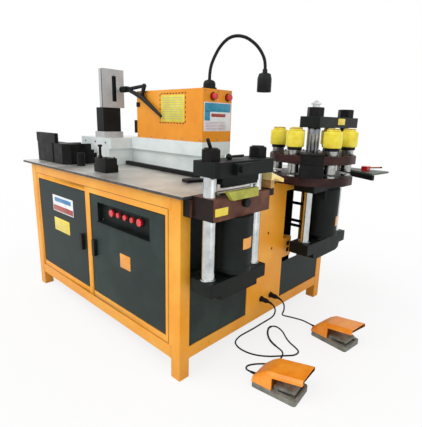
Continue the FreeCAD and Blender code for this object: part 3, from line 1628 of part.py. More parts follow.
def make_switch_hood():
    half = switch_length / 2
    back = -half
    seam = -half + switch_length * hood_back_share
    front = half + hood_over
    low = switch_base_height
    top = [(back, low + hood_back_low), (back + hood_back_lean, low + hood_back_height),
           (back + hood_shoulder_run, hood_shoulder + hood_edge), (seam, hood_seam_height),
           (front, hood_front_height)]
    outline = [(back, low)] + top + [(front, hood_front_height - hood_roof_drop),
                                     (seam, hood_seam_height - hood_roof_drop), (seam, low)]
    side = (0, 1, 0)
    solid = profile(outline, lambda x, z: (x, -switch_width / 2, z), side, switch_width)
    crest = [e for e in solid.Edges if min(v.Z for v in e.Vertexes) > low + hood_back_low - overrun
             and abs(e.CenterOfMass.y) > half / 2 and is_top(e, hood_roof_drop / 2, top)]
    solid = solid.makeChamfer(hood_edge, crest)
    wall = hood_wall
    inside = [(x + wall, z - wall) for x, z in top[:-1]]
    inside = [(back + wall, low - overrun)] + inside
    inside += [(front + overrun, hood_front_height - wall), (front + overrun, low - overrun)]
    hollow = profile(inside, lambda x, z: (x, wall + hood_edge / 2 - switch_width / 2, z), side,
                     switch_width - 2 * wall - hood_edge)
    return solid.cut(hollow)


def is_top(edge, slack, top):
    # whether an edge lies along the roof line rather than along the lower rim
    middle = edge.CenterOfMass
    for (x0, z0), (x1, z1) in zip(top, top[1:]):
        if x0 - slack / 2 <= middle.x <= x1 + slack / 2:
            height = z0 + (z1 - z0) * (middle.x - x0) / (x1 - x0)
            if abs(middle.z - height) < overrun:
                return True
    return False


def make_pedal():
    pin_x, pin_z = pedal_pin()
    back = pin_x - pedal_pin_r * 2
    front = switch_length / 2 - hood_wall * 3
    top = pin_z + pedal_pin_r * 2
    outline = [(back, pin_z - pedal_pin_r), (back, top),
               (front - pedal_thickness, top + pedal_rise * pedal_crown_share),
               (front, top + pedal_rise * pedal_nose_share), (front, top - pedal_thickness * pedal_lip_share),
               (front - pedal_thickness, top + pedal_rise * pedal_crown_share - pedal_thickness),
               (back + pedal_pin_r * 5, pin_z - pedal_pin_r)]
    pedal = profile(outline, lambda x, z: (x, -pedal_width / 2, z), (0, 1, 0), pedal_width)
    bore = bar((pin_x, -pedal_width, pin_z), (0, 1, 0), 2 * pedal_width, pedal_pin_r + running_fit)
    return pedal.cut(bore)


def make_foot_switches():
    save("foot_bases", *[place_switch(make_switch_base(), w) for w in (near_switch, far_switch)])
    save("foot_hoods", *[place_switch(make_switch_hood(), w) for w in (near_switch, far_switch)])
    save("pedal_near", place_switch(make_pedal(), near_switch))
    save("pedal_far", place_switch(make_pedal(), far_switch))
    save("cable_near", tube_along(near_cable_route, cable_r, cable_arc_share, "near cable"))
    save("cable_far", tube_along(far_cable_route, cable_r, cable_arc_share, "far cable"))


def build():
    make_frame()
    make_table()
    make_side_column()
    make_covers()
    left_x = (-(half_length - tube - fascia_stile) + door_gap, middle_left - door_gap)
    right_x = (middle_right + door_gap, half_length - tube - fascia_stile - door_gap)
    make_door("door_left", *left_x, door_pin_x(-1), left_x[1] - latch_inset, False)
    make_door("door_right", *right_x, door_pin_x(1), right_x[0] + latch_inset, True)
    make_latch("latch_left", left_x[1] - latch_inset)
    make_latch("latch_right", right_x[0] + latch_inset)
    make_control_panel()
    for k, (x, r) in enumerate(button_places()):
        make_button("panel_button_" + str(k + 1), x, r)
    make_housing()
    make_bend_ram()
    make_die_frame()
    make_roller_base()
    make_roller()
    make_gauge()
    make_lever()
    make_control_box()
    make_box_button("box_button_near", box_button_y[0])
    make_box_button("box_button_far", box_button_y[1])
    make_lamp()
    make_shear_platform()
    make_shear_cylinder()
    make_shear_guard()
    make_shear_yokes()
    make_shear_rods()
    make_shear_nuts()
    make_shear_knob()
    make_punch_platform()
    make_punch_cylinder()
    make_punch_yokes()
    make_punch_rods()
    make_punch_nuts()
    make_turret_plates()
    make_turret_hub()
    make_tools()
    make_side_table()
    make_hydraulics()
    make_sockets()
    make_foot_switches()


build()
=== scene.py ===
# %% [markdown]
# # A busbar processing machine
# This machine bends, shears and punches flat copper bars with oil pressure. The CAD model holds
# every solid of it in millimetres. Here that model is loaded as a fixed frame, in metres, and
# each solid gets its finish and its softened edges. Then come the small pieces that a workshop
# would notice: cables, plates, screws, louvres and welds.

# %% Load the CAD frame
import bpy
import math
from mathutils import Matrix, Vector


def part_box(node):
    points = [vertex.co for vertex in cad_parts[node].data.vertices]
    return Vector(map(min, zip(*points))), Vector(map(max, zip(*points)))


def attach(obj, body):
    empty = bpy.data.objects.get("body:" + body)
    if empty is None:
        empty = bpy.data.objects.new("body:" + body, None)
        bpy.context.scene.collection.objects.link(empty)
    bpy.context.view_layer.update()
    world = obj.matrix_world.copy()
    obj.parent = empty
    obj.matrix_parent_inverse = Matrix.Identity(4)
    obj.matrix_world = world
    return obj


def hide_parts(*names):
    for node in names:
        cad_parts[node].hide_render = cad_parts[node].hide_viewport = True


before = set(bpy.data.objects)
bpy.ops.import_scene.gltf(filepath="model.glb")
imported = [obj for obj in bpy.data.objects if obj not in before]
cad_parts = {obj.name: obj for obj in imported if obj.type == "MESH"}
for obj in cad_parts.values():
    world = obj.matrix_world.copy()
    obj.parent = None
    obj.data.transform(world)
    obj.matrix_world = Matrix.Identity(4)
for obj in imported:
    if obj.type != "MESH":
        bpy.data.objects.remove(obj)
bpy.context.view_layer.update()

# %% [markdown]
# ## Camera
# The camera stands where the photographer stood: in front of the corner between the doors and the
# shear, a little above the table. It could be placed by eye, but then no edge would quite meet the
# photograph's. Here its place and angles were solved from the cabinet's straight edges, and its
# three axes follow from a heading, a pitch and a small roll.

# %% Camera at the photograph's view
PHOTO_HEIGHT = 427
FOCAL_PIXELS = 371.919
SENSOR_MM = 36.0
FAR_CLIP_M = 60.0
STAND_POINT = Vector((1.8425, -1.6101, 1.1620))
heading, pitch, roll = (math.radians(v) for v in (43.526, 14.119, 1.503))

back = Vector((math.sin(heading) * math.cos(pitch), -math.cos(heading) * math.cos(pitch),
               math.sin(pitch)))
level_right = Vector((math.cos(heading), math.sin(heading), 0))
level_up = back.cross(level_right)
right = level_right * math.cos(roll) + level_up * math.sin(roll)
up = level_up * math.cos(roll) - level_right * math.sin(roll)

camera_data = bpy.data.cameras.new("camera")
camera_data.sensor_width = SENSOR_MM
camera_data.lens = FOCAL_PIXELS / PHOTO_HEIGHT * SENSOR_MM
camera_data.clip_end = FAR_CLIP_M
camera = bpy.data.objects.new("camera", camera_data)
turn = Matrix((right, up, back)).transposed().to_4x4()
camera.matrix_world = Matrix.Translation(STAND_POINT) @ turn
bpy.context.collection.objects.link(camera)
bpy.context.scene.camera = camera
print("lens", round(camera_data.lens, 2), "mm")

# %% [markdown]
# ## Node helper and colours
# Every material is a small tree of nodes. Setting each socket and link in a line of its own gets
# long, so one helper adds a node with all it needs, and a material reads like a recipe. Colours
# are written as sRGB hex values, as a paint chart gives them, and one function turns them to the
# linear values that the renderer needs.

# %% One helper for colours, one for nodes
def linear(code):
    """The linear colour of an sRGB hex value."""
    channels = []
    for k in (1, 3, 5):
        value = int(code[k:k + 2], 16) / 255
        channels.append(value / 12.92 if value <= 0.04045 else ((value + 0.055) / 1.055) ** 2.4)
    return (*channels, 1.0)


def add(tree, kind, links=None, values=None, stops=(), **settings):
    """Adds a node. links join a socket to another node's output, values fill other sockets, and
    stops are the places and colours along a colour ramp."""
    node = tree.nodes.new(kind)
    for key, value in settings.items():
        setattr(node, key, value)
    for key, value in (values or {}).items():
        node.inputs[key].default_value = value
    for key, source in (links or {}).items():
        tree.links.new(source, node.inputs[key])
    if stops:
        elements = node.color_ramp.elements
        while len(elements) < len(stops):
            elements.new(0.5)
        for element, (place, colour) in zip(elements, stops):
            element.position = place
            element.color = colour
    return node


def new_material(name):
    material = bpy.data.materials.new(name)
    material.use_nodes = True
    material.node_tree.nodes.clear()
    return material, material.node_tree


WHITE = linear("#FFFFFF")
print("linear mid grey:", round(linear("#808080")[0], 3))

# %% [markdown]
# ## Floor and sky
# The photograph shows the machine cut out on white. More light would give white too, but it would
# wash out every paint. So the floor and the sky only look white to the camera, through the Light
# Path node, while they light the machine at a plain level. Metal reflects the same white sky, and
# the floor keeps a soft shadow, because only a part of it glows.

# %% Floor
FLOOR_SIZE_M = 24.0
FLOOR_PAINT = "#F8F8F8"
FLOOR_GLOW = 0.8


def make_floor():
    material, tree = new_material("floor_white_paint")
    seen = add(tree, "ShaderNodeLightPath").outputs["Is Camera Ray"]
    glow = add(tree, "ShaderNodeEmission", values={"Color": WHITE, "Strength": 1.0})
    paint = add(tree, "ShaderNodeBsdfDiffuse", values={"Color": linear(FLOOR_PAINT)})
    share = add(tree, "ShaderNodeMath", {0: seen}, {1: FLOOR_GLOW}, operation="MULTIPLY")
    mix = add(tree, "ShaderNodeMixShader",
              {"Fac": share.outputs[0], 1: paint.outputs[0], 2: glow.outputs[0]})
    add(tree, "ShaderNodeOutputMaterial", {"Surface": mix.outputs[0]})
    half = FLOOR_SIZE_M / 2
    corners = [(-half, -half, 0), (half, -half, 0), (half, half, 0), (-half, half, 0)]
    mesh = bpy.data.meshes.new("floor")
    mesh.from_pydata(corners, [], [(0, 1, 2, 3)])
    mesh.materials.append(material)
    floor = bpy.data.objects.new("floor", mesh)
    bpy.context.collection.objects.link(floor)


make_floor()
print("floor", FLOOR_SIZE_M, "m square")

# %% Sky
SKY_LIGHT = 0.62


def make_sky():
    world = bpy.data.worlds.new("sky")
    bpy.context.scene.world = world
    world.use_nodes = True
    tree = world.node_tree
    tree.nodes.clear()
    path = add(tree, "ShaderNodeLightPath").outputs
    seen = add(tree, "ShaderNodeMath", {0: path["Is Camera Ray"], 1: path["Is Glossy Ray"]},
               operation="MAXIMUM").outputs[0]
    seen = add(tree, "ShaderNodeMath", {0: seen, 1: path["Is Transmission Ray"]},
               operation="MAXIMUM").outputs[0]
    white = add(tree, "ShaderNodeBackground", values={"Color": WHITE, "Strength": 1.0})
    light = add(tree, "ShaderNodeBackground", values={"Color": WHITE, "Strength": SKY_LIGHT})
    mix = add(tree, "ShaderNodeMixShader", {"Fac": seen, 1: light.outputs[0], 2: white.outputs[0]})
    add(tree, "ShaderNodeOutputWorld", {"Surface": mix.outputs[0]})


make_sky()
bpy.context.scene.view_settings.view_transform = "Standard"
print("sky lights at", SKY_LIGHT)

# %% [markdown]
# ## Lamps
# A studio lights such a machine with softboxes, which give wide, faint shadows. Area lamps would
# fall off across a machine of this length, so two suns with a wide disc stand for them: one over
# the doors, and a weaker one that opens up the side with the shear.

# %% Two softboxes
LAMPS = {  # the direction that it comes from, its strength and its width in degrees
    "front_softbox": ((-0.25, -0.75, 0.9), 1.45, 50.0),
    "side_softbox": ((0.9, -0.1, 0.6), 0.5075, 60.0),
}
for name, (direction, strength, spread_deg) in LAMPS.items():
    data = bpy.data.lights.new(name, "SUN")
    data.energy = strength
    data.angle = math.radians(spread_deg)
    lamp = bpy.data.objects.new(name, data)
    lamp.rotation_euler = Vector(direction).to_track_quat("Z", "Y").to_euler()
    bpy.context.collection.objects.link(lamp)
print("lamps:", ", ".join(LAMPS))

# %% [markdown]
# ## What makes a surface look real
# No surface of a machine has one flat colour. Paint dries with the faint dimples called orange
# peel, dust dulls it in clouds, and near the floor it gets soiled and chipped. An image texture
# could hold all that, but noises at real sizes in millimetres need no image and fit any shape.
# One noise draws the clouds, in colour and in gloss, and a finer one the grain. Ground or drawn
# metal keeps the direction in which it was worked, so its grain is stretched along one axis.

# %% What a finish can say, and its worn colour
PLAIN = dict(cloud_mm=260.0, grain_mm=3.0, bump=0.08, rough=(0.35, 0.55), metallic=0.0,
             specular=0.5, coat=0.0, subsurface=0.0, stretch=(1.0, 1.0, 1.0), soil=None, chips=None)
CLOUD_STOPS = (0.32, 0.5, 0.68)      # noise values with the dark, the base and the light colour
SOIL_HEIGHTS_M = (0.02, 0.22)        # soil is thickest at the first height and ends at the second
SOIL_SHARE = 0.55
CHIP_MM = 18.1818
CHIP_TOP_M = 0.35
CHIP_LIMITS = (0.66, 0.75)           # noise above this is a chip, near the floor and higher up


def worn_colour(tree, place, clouds, spec):
    """Clouds between the dark and the light colour, with soil and chips near the floor."""
    base, dark, light = (linear(code) for code in spec["colours"])
    colour = add(tree, "ShaderNodeValToRGB", {"Fac": clouds},
                 stops=list(zip(CLOUD_STOPS, (dark, base, light)))).outputs["Color"]
    height = add(tree, "ShaderNodeSeparateXYZ", {"Vector": place}).outputs["Z"]
    if spec["soil"]:
        low = add(tree, "ShaderNodeMapRange", {"Value": height},
                  {"From Min": SOIL_HEIGHTS_M[0], "From Max": SOIL_HEIGHTS_M[1],
                   "To Min": SOIL_SHARE, "To Max": 0.0})
        patchy = add(tree, "ShaderNodeMath", {0: low.outputs[0], 1: clouds}, operation="MULTIPLY")
        colour = add(tree, "ShaderNodeMix", {"Factor": patchy.outputs[0], "A": colour},
                     {"B": linear(spec["soil"])}, data_type="RGBA").outputs["Result"]
    if spec["chips"]:
        spots = add(tree, "ShaderNodeTexNoise", {"Vector": place},
                    {"Scale": 1000.0 / CHIP_MM, "Detail": 3.0, "Roughness": 0.7})
        limit = add(tree, "ShaderNodeMapRange", {"Value": height},
                    {"From Min": 0.0, "From Max": CHIP_TOP_M,
                     "To Min": CHIP_LIMITS[0], "To Max": CHIP_LIMITS[1]})
        chipped = add(tree, "ShaderNodeMath", {0: spots.outputs["Fac"], 1: limit.outputs[0]},
                      operation="GREATER_THAN")
        colour = add(tree, "ShaderNodeMix", {"Factor": chipped.outputs[0], "A": colour},
                     {"B": linear(spec["chips"])}, data_type="RGBA").outputs["Result"]
    return colour


print("a finish can say:", ", ".join(PLAIN))

# %% Shader of a finish
GLOSS_STOPS = (0.3, 0.7)             # noise values with the glossiest and the dullest spots
GRAIN_DEPTH_SHARE = 0.25
COAT_ROUGHNESS = 0.12
SUBSURFACE_M = 0.01


def shader_of(tree, place, finish):
    """The worn colour, a gloss that follows the clouds, and the fine grain as bump."""
    spec = {**PLAIN, **FINISHES[finish]}
    clouds = add(tree, "ShaderNodeTexNoise", {"Vector": place},
                 {"Scale": 1000.0 / spec["cloud_mm"], "Detail": 5.0, "Roughness": 0.6}).outputs["Fac"]
    drawn_out = add(tree, "ShaderNodeMapping", {"Vector": place}, {"Scale": spec["stretch"]})
    grain = add(tree, "ShaderNodeTexNoise", {"Vector": drawn_out.outputs[0]},
                {"Scale": 1000.0 / spec["grain_mm"], "Detail": 3.0, "Roughness": 0.5})
    gloss = add(tree, "ShaderNodeMapRange", {"Value": clouds},
                {"From Min": GLOSS_STOPS[0], "From Max": GLOSS_STOPS[1],
                 "To Min": spec["rough"][0], "To Max": spec["rough"][1]})
    dimples = add(tree, "ShaderNodeBump", {"Height": grain.outputs["Fac"]},
                  {"Strength": spec["bump"],
                   "Distance": spec["grain_mm"] * GRAIN_DEPTH_SHARE / 1000.0})
    shader = add(tree, "ShaderNodeBsdfPrincipled",
                 {"Base Color": worn_colour(tree, place, clouds, spec),
                  "Roughness": gloss.outputs[0], "Normal": dimples.outputs[0]},
                 {"Metallic": spec["metallic"], "Specular IOR Level": spec["specular"],
                  "Coat Weight": spec["coat"], "Coat Roughness": COAT_ROUGHNESS,
                  "Subsurface Weight": spec["subsurface"], "Subsurface Scale": SUBSURFACE_M})
    return shader.outputs[0]


print("grain is", GRAIN_DEPTH_SHARE, "as deep as it is wide")

# %% [markdown]
# A casting is often painted, but its machined faces are bare. The faces could be cut apart into
# slots, but the CAD solids are never changed. So a second finish is mixed in wherever the surface
# lies inside a box, and the box stops at the machined face.

# %% A finish inside a box, and the whole material
def inside_box(tree, place, low_mm, high_mm):
    """One inside the box and nothing outside it."""
    middle = [(a + b) / 2000 for a, b in zip(low_mm, high_mm)]
    half = [(b - a) / 2000 for a, b in zip(low_mm, high_mm)]
    away = add(tree, "ShaderNodeVectorMath", {0: place}, {1: middle}, operation="SUBTRACT")
    away = add(tree, "ShaderNodeVectorMath", {0: away.outputs[0]}, operation="ABSOLUTE")
    past = add(tree, "ShaderNodeVectorMath", {0: away.outputs[0]}, {1: half}, operation="SUBTRACT")
    x, y, z = add(tree, "ShaderNodeSeparateXYZ", {"Vector": past.outputs[0]}).outputs
    widest = add(tree, "ShaderNodeMath", {0: x, 1: y}, operation="MAXIMUM").outputs[0]
    widest = add(tree, "ShaderNodeMath", {0: widest, 1: z}, operation="MAXIMUM").outputs[0]
    return add(tree, "ShaderNodeMath", {0: widest}, {1: 0.0}, operation="LESS_THAN").outputs[0]


def material_of(name, finish, zones=()):
    """A finish as a material. Each zone is another finish with the box that it fills."""
    material, tree = new_material(name)
    place = add(tree, "ShaderNodeTexCoord").outputs["Object"]
    shader = shader_of(tree, place, finish)
    for other, low_mm, high_mm in zones:
        share = inside_box(tree, place, low_mm, high_mm)
        shader = add(tree, "ShaderNodeMixShader",
                     {"Fac": share, 1: shader, 2: shader_of(tree, place, other)}).outputs[0]
    add(tree, "ShaderNodeOutputMaterial", {"Surface": shader})
    return material


print("a zone is a finish and the two corners of its box")

# %% [markdown]
# ## Enamels and paints
# The cabinet is sprayed with a glossy enamel, the covers with a matt textured paint that hides
# dents, and the presses with a thick dark paint that stays a little oily. Each finish names its
# base, dark and light colour, and then only what differs from PLAIN. Dark paint gets a lower
# specular, or a white sky would turn it grey.

# %% Light enamels
FINISHES = {
    # two-part enamel on welded tube: glossy and warm, soiled and chipped where boots reach it
    "amber_enamel": dict(colours=("#F4A52A", "#EE9A1E", "#FAB542"), soil="#A8651C",
                         chips="#7E6A50", rough=(0.3, 0.42), specular=0.4),
    # the same enamel on folded sheet, cleaner and a little redder
    "orange_enamel": dict(colours=("#F29A22", "#EA8E1A", "#F8A938"), rough=(0.32, 0.45),
                          specular=0.4),
    # a harder enamel baked on the foot switches' cast hoods
    "hood_orange_paint": dict(colours=("#FF9A28", "#F58A1E", "#FFAC40"), cloud_mm=70,
                              rough=(0.28, 0.42)),
    # clean enamel on the bending head, cool and bright
    "white_enamel": dict(colours=("#E4ECEB", "#D4DEDE", "#F0F4F3"), rough=(0.25, 0.4)),
    # satin enamel on the gauge and the motor: quiet, without sharp highlights
    "light_grey_enamel": dict(colours=("#B9BABB", "#AEB0B1", "#C4C5C5"), cloud_mm=110,
                              rough=(0.35, 0.5)),
    # chalky brushed paints on the guard and the rest: uneven and nearly matt
    "lime_paint": dict(colours=("#ABAB3E", "#959532", "#BFBE54"), cloud_mm=60, rough=(0.4, 0.55)),
    "cream_paint": dict(colours=("#FFE697", "#F4D480", "#FFF0B4"), cloud_mm=50, rough=(0.4, 0.55)),
    # the cream darkened to ochre as painted shade on the lower end of the rest
    "ochre_painted_shade": dict(colours=("#B98A4C", "#A3773C", "#C79A5C"), cloud_mm=30, rough=(0.4, 0.55)),
}
print("light enamels:", len(FINISHES))

# %% Dark paints
FINISHES.update({
    # textured powder coat: small even bumps that break up any highlight
    "dark_textured_paint": dict(colours=("#25312F", "#1C2726", "#33403D"), grain_mm=2.0, bump=0.3,
                                rough=(0.45, 0.62), soil="#4A4A40", specular=0.22),
    # thick paint over cast steel: the casting's skin still shows
    "press_dark_paint": dict(colours=("#101715", "#0A100E", "#1B2321"), cloud_mm=120,
                             grain_mm=4.0, bump=0.22, rough=(0.4, 0.6), specular=0.16),
    # brown primer that was left as the top coat, rubbed paler in places
    "maroon_paint": dict(colours=("#613B2E", "#492C23", "#7A5040"), cloud_mm=90, grain_mm=5.0,
                         bump=0.2, rough=(0.35, 0.55), specular=0.18),
    # the same primer, darkened as painted shade on the platform's front face
    "shaded_maroon": dict(colours=("#1C1210", "#130B0A", "#2B1C18"), cloud_mm=80, grain_mm=5.0,
                            bump=0.2, rough=(0.35, 0.55), specular=0.18),
    # thick brown paint, wiped with oil: glossier, so that the plates' round edges show
    "turret_paint": dict(colours=("#2A1412", "#1C0C0C", "#3E221E"), cloud_mm=80, grain_mm=4.0,
                         bump=0.15, rough=(0.3, 0.5), specular=0.2),
    # stoved satin black on lamp, lever and latches: a soft, even sheen
    "black_satin_paint": dict(colours=("#121414", "#0B0D0D", "#1D2020"), cloud_mm=60, bump=0.12,
                              rough=(0.38, 0.52), specular=0.2),
})
print("with dark paints:", len(FINISHES))

# %% [markdown]
# ## Metals
# Bare metal keeps its colour in its reflection, so it is metallic, and its roughness tells how it
# was worked: chrome plate is close to a mirror, ground steel is satin, and steel that was
# blackened in hot salts is nearly matt. Grain that is too fine for this view is drawn about one
# millimetre wide, just coarse enough to break the highlight.

# %% Steels, chrome and copper
ALONG_X, ALONG_Y, ALONG_Z = (0.04, 1.0, 1.0), (1.0, 0.04, 1.0), (1.0, 1.0, 0.04)
FINISHES.update({
    # hot-blackened steel: matt, with brown where oil has dried
    "blacked_steel": dict(colours=("#0D0D0D", "#070707", "#1A1918"), cloud_mm=45, grain_mm=2.0,
                          bump=0.25, rough=(0.35, 0.6), specular=0.16),
    # a thin oxide film on turned steel: dark, but with a glint of metal
    "black_oxide_screw": dict(colours=("#161616", "#0E0E0E", "#232322"), cloud_mm=12, grain_mm=0.8,
                              bump=0.15, rough=(0.3, 0.45), metallic=0.6, specular=0.25),
    # plated and polished rods: bright, with faint marks along the stroke
    "hard_chrome": dict(colours=("#C4C8C8", "#B2B6B6", "#D3D7D7"), cloud_mm=60, grain_mm=1.5,
                        bump=0.06, rough=(0.12, 0.24), metallic=1.0, stretch=ALONG_Z),
    # the same chrome under old oil: darker and streaked
    "streaked_chrome": dict(colours=("#7E8083", "#66686B", "#9B9DA0"), cloud_mm=40, grain_mm=1.5,
                            bump=0.08, rough=(0.15, 0.3), metallic=1.0, stretch=ALONG_Z),
    # hardened tool steel, ground all round: satin from every side
    "ground_tool_steel": dict(colours=("#A9ABA9", "#95978F", "#BDBFBD"), cloud_mm=30,
                              grain_mm=1.2, bump=0.15, rough=(0.25, 0.42), metallic=1.0),
    # flats ground along one axis: the highlight is drawn out across it
    "ground_steel": dict(colours=("#A3A6A6", "#8F9292", "#B5B8B8"), cloud_mm=80, grain_mm=1.5,
                         bump=0.15, rough=(0.28, 0.45), metallic=1.0, stretch=ALONG_Y),
    # edges of the blades: the brightest steel of the machine
    "polished_edge_steel": dict(colours=("#C4C6C4", "#AEB0AE", "#D6D8D6"), cloud_mm=30,
                                grain_mm=1.0, bump=0.1, rough=(0.18, 0.3), metallic=1.0,
                                stretch=ALONG_Y),
    # rolled plate with its scale left on: dull, with little metal in the reflection
    "dull_side_steel": dict(colours=("#4C534A", "#3E443B", "#61685E"), cloud_mm=60, grain_mm=1.5,
                            bump=0.2, rough=(0.35, 0.55), metallic=0.3),
    # painted shade on the sides and underside of a plate: dark and rough
    "shaded_plate_edge": dict(colours=("#4C4A46", "#3A3835", "#66635D"), cloud_mm=50, grain_mm=2.0,
                              bump=0.4, rough=(0.4, 0.6), metallic=0.5),
    # zinc plate on screws and nuts: pale grey, softer than chrome
    "zinc_screw_steel": dict(colours=("#8F918F", "#7A7C7B", "#A6A8A6"), cloud_mm=12, grain_mm=0.8,
                             bump=0.15, rough=(0.3, 0.45), metallic=1.0),
    # sand-cast aluminium with a worn grey wash: coarse and almost matt
    "cast_grey": dict(colours=("#7E7F77", "#686962", "#94958C"), cloud_mm=40, grain_mm=1.6,
                      bump=0.6, rough=(0.5, 0.7), metallic=0.2),
    # drawn copper rod: warm metal, tarnished in bands along its length
    "copper_bar": dict(colours=("#C26A3C", "#AA582E", "#D68254"), cloud_mm=25, grain_mm=1.2,
                       bump=0.1, rough=(0.25, 0.4), metallic=0.8, stretch=ALONG_X),
})
print("with metals:", len(FINISHES))

# %% [markdown]
# ## Plastics, rubber and vinyl
# Moulded plastic is even in colour, and its gloss comes from the mould: polished for the red
# buttons, spark-eroded for the black parts. The yellow rings round the punches are cast
# polyurethane. Light goes a little way into it, and its fluting shows as upright bands. Vinyl and
# printed rules are thin and smooth, so they are told apart by colour.

# %% Plastics and rubber
FINISHES.update({
    # spark-eroded mould: a fine matt grain
    "black_plastic": dict(colours=("#101111", "#0A0B0B", "#181A1A"), cloud_mm=90, grain_mm=1.5,
                          bump=0.2, rough=(0.45, 0.6), specular=0.2),
    # polished mould and a clear coat: small sharp highlights
    "red_plastic": dict(colours=("#D3202A", "#B8161F", "#E83840"), cloud_mm=20, bump=0.03,
                        rough=(0.15, 0.25), coat=0.4),
    # cast polyurethane: translucent and waxy
    "yellow_polyurethane": dict(colours=("#EEDC3C", "#E4CC2A", "#F6E85C"), cloud_mm=40,
                                grain_mm=5.0, bump=0.5, rough=(0.3, 0.45), subsurface=0.25,
                                stretch=ALONG_Z),
    # moulded rim of the caps: even and half matt
    "brown_cap_rim": dict(colours=("#96783C", "#7F622C", "#AA8C50"), cloud_mm=20,
                          rough=(0.35, 0.5)),
    # sand-blasted lens: milky, so that no bulb shows
    "frosted_lens": dict(colours=("#F3F1E6", "#EBE9DC", "#FAF9F2"), cloud_mm=30, grain_mm=1.0,
                         bump=0.1, rough=(0.3, 0.4), subsurface=0.2),
    # woven nylon: the weave is drawn as a deep grain of the threads' width
    "braided_sleeve": dict(colours=("#242425", "#151516", "#3A3A3B"), cloud_mm=3.0, grain_mm=1.2,
                           bump=0.7, rough=(0.5, 0.7)),
    # extruded rubber: dull, with a soft sheen
    "cable_rubber": dict(colours=("#131314", "#0C0C0D", "#1D1D1E"), cloud_mm=40, grain_mm=1.0,
                         bump=0.15, rough=(0.45, 0.6), specular=0.2),
})
print("with plastics:", len(FINISHES))

# %% Vinyl plates, printed rules and shadow lines
VINYL = dict(cloud_mm=60, bump=0.03, rough=(0.25, 0.35))
FINISHES.update({
    # calendered vinyl: flat, smooth and clean, the sun-bleached one rougher
    "white_vinyl": dict(VINYL, colours=("#EDEFF0", "#E4E7E9", "#F6F7F7")),
    "blue_vinyl": dict(VINYL, colours=("#3B7FB6", "#3173AA", "#4C8EC3")),
    "red_vinyl": dict(VINYL, colours=("#A8423A", "#9A3831", "#B54C44")),
    "teal_vinyl": dict(VINYL, colours=("#2F93B4", "#2685A6", "#46A3C0")),
    "yellow_vinyl": dict(VINYL, colours=("#F2D844", "#E9CE36", "#F8E25A"), rough=(0.25, 0.38)),
    "amber_vinyl": dict(VINYL, colours=("#E99A36", "#DE8E2A", "#F2A848"), rough=(0.25, 0.38)),
    "faded_yellow_vinyl": dict(VINYL, colours=("#E2D549", "#D8C93A", "#ECE05C"),
                               rough=(0.3, 0.42)),
    # screen ink on vinyl: flat colour with the vinyl's own gloss
    "printed_grey_line": dict(colours=("#9FA4A6", "#94999B", "#AAAFB1"), cloud_mm=40, bump=0.03,
                              rough=(0.3, 0.4)),
    "pink_print": dict(colours=("#B77C9A", "#A86C8C", "#C48FAA"), cloud_mm=30, bump=0.03,
                       rough=(0.3, 0.4)),
    # enamel in a narrow joint, painted brown as the shade in it
    "seam_shadow": dict(colours=("#8A5514", "#774810", "#9A621C"), cloud_mm=60, bump=0.05,
                        rough=(0.5, 0.6)),
})
PAINTS = {name: material_of(name, name) for name in FINISHES}
print("all finishes:", len(PAINTS))

# %% [markdown]
# ## Table steel
# The table is a ground steel plate that has lain in a workshop: fine scratches along its length,
# pale rubbed areas, and brown patches towards the shear, partly rust where hands and wet bars touch
# it most and partly a painted reflection of the brown presses. It needs a second noise for these
# patches, so it has its own tree. Below the top face the plate is painted dark as shade, and rough.

# %% Worn table steel
WEAR_MM, SCRATCH_MM, BROWN_PATCH_MM = 200.0, 2.63158, 111.111
WEAR_STOPS = ((0.35, "#BFBEB9"), (0.52, "#D0CFCA"), (0.68, "#E0DFDB"))
# brown patches: partly rust, partly a painted reflection of the brown presses in the steel
RUST_AND_REFLECTION_COLOUR = "#A78A78"
BROWN_FROM_X_M, BROWN_FULL_X_M = -0.1, 0.7
BROWN_NOISE, BROWN_SHARE = (0.46, 0.7), 0.3
TABLE_ROUGH, TABLE_METALLIC = (0.3, 0.5), 0.75
SCRATCH_STRENGTH, SCRATCH_DEPTH_M = 0.12, 0.0004
# below the top face the plate's sides and underside get a painted shade
PLATE_SHADE_BOX = ((-900, -700, 850), (900, 700, 867.2))


def rust_and_reflection_share(tree, place):
    """Brown patches, rust and a painted reflection, that grow towards the shear."""
    along = add(tree, "ShaderNodeSeparateXYZ", {"Vector": place}).outputs["X"]
    near_shear = add(tree, "ShaderNodeMapRange", {"Value": along},
                     {"From Min": BROWN_FROM_X_M, "From Max": BROWN_FULL_X_M})
    spots = add(tree, "ShaderNodeTexNoise", {"Vector": place},
                {"Scale": 1000.0 / BROWN_PATCH_MM, "Detail": 4.0, "Roughness": 0.7})
    patches = add(tree, "ShaderNodeMapRange", {"Value": spots.outputs["Fac"]},
                  {"From Min": BROWN_NOISE[0], "From Max": BROWN_NOISE[1], "To Max": BROWN_SHARE})
    return add(tree, "ShaderNodeMath", {0: near_shear.outputs[0], 1: patches.outputs[0]},
               operation="MULTIPLY").outputs[0]


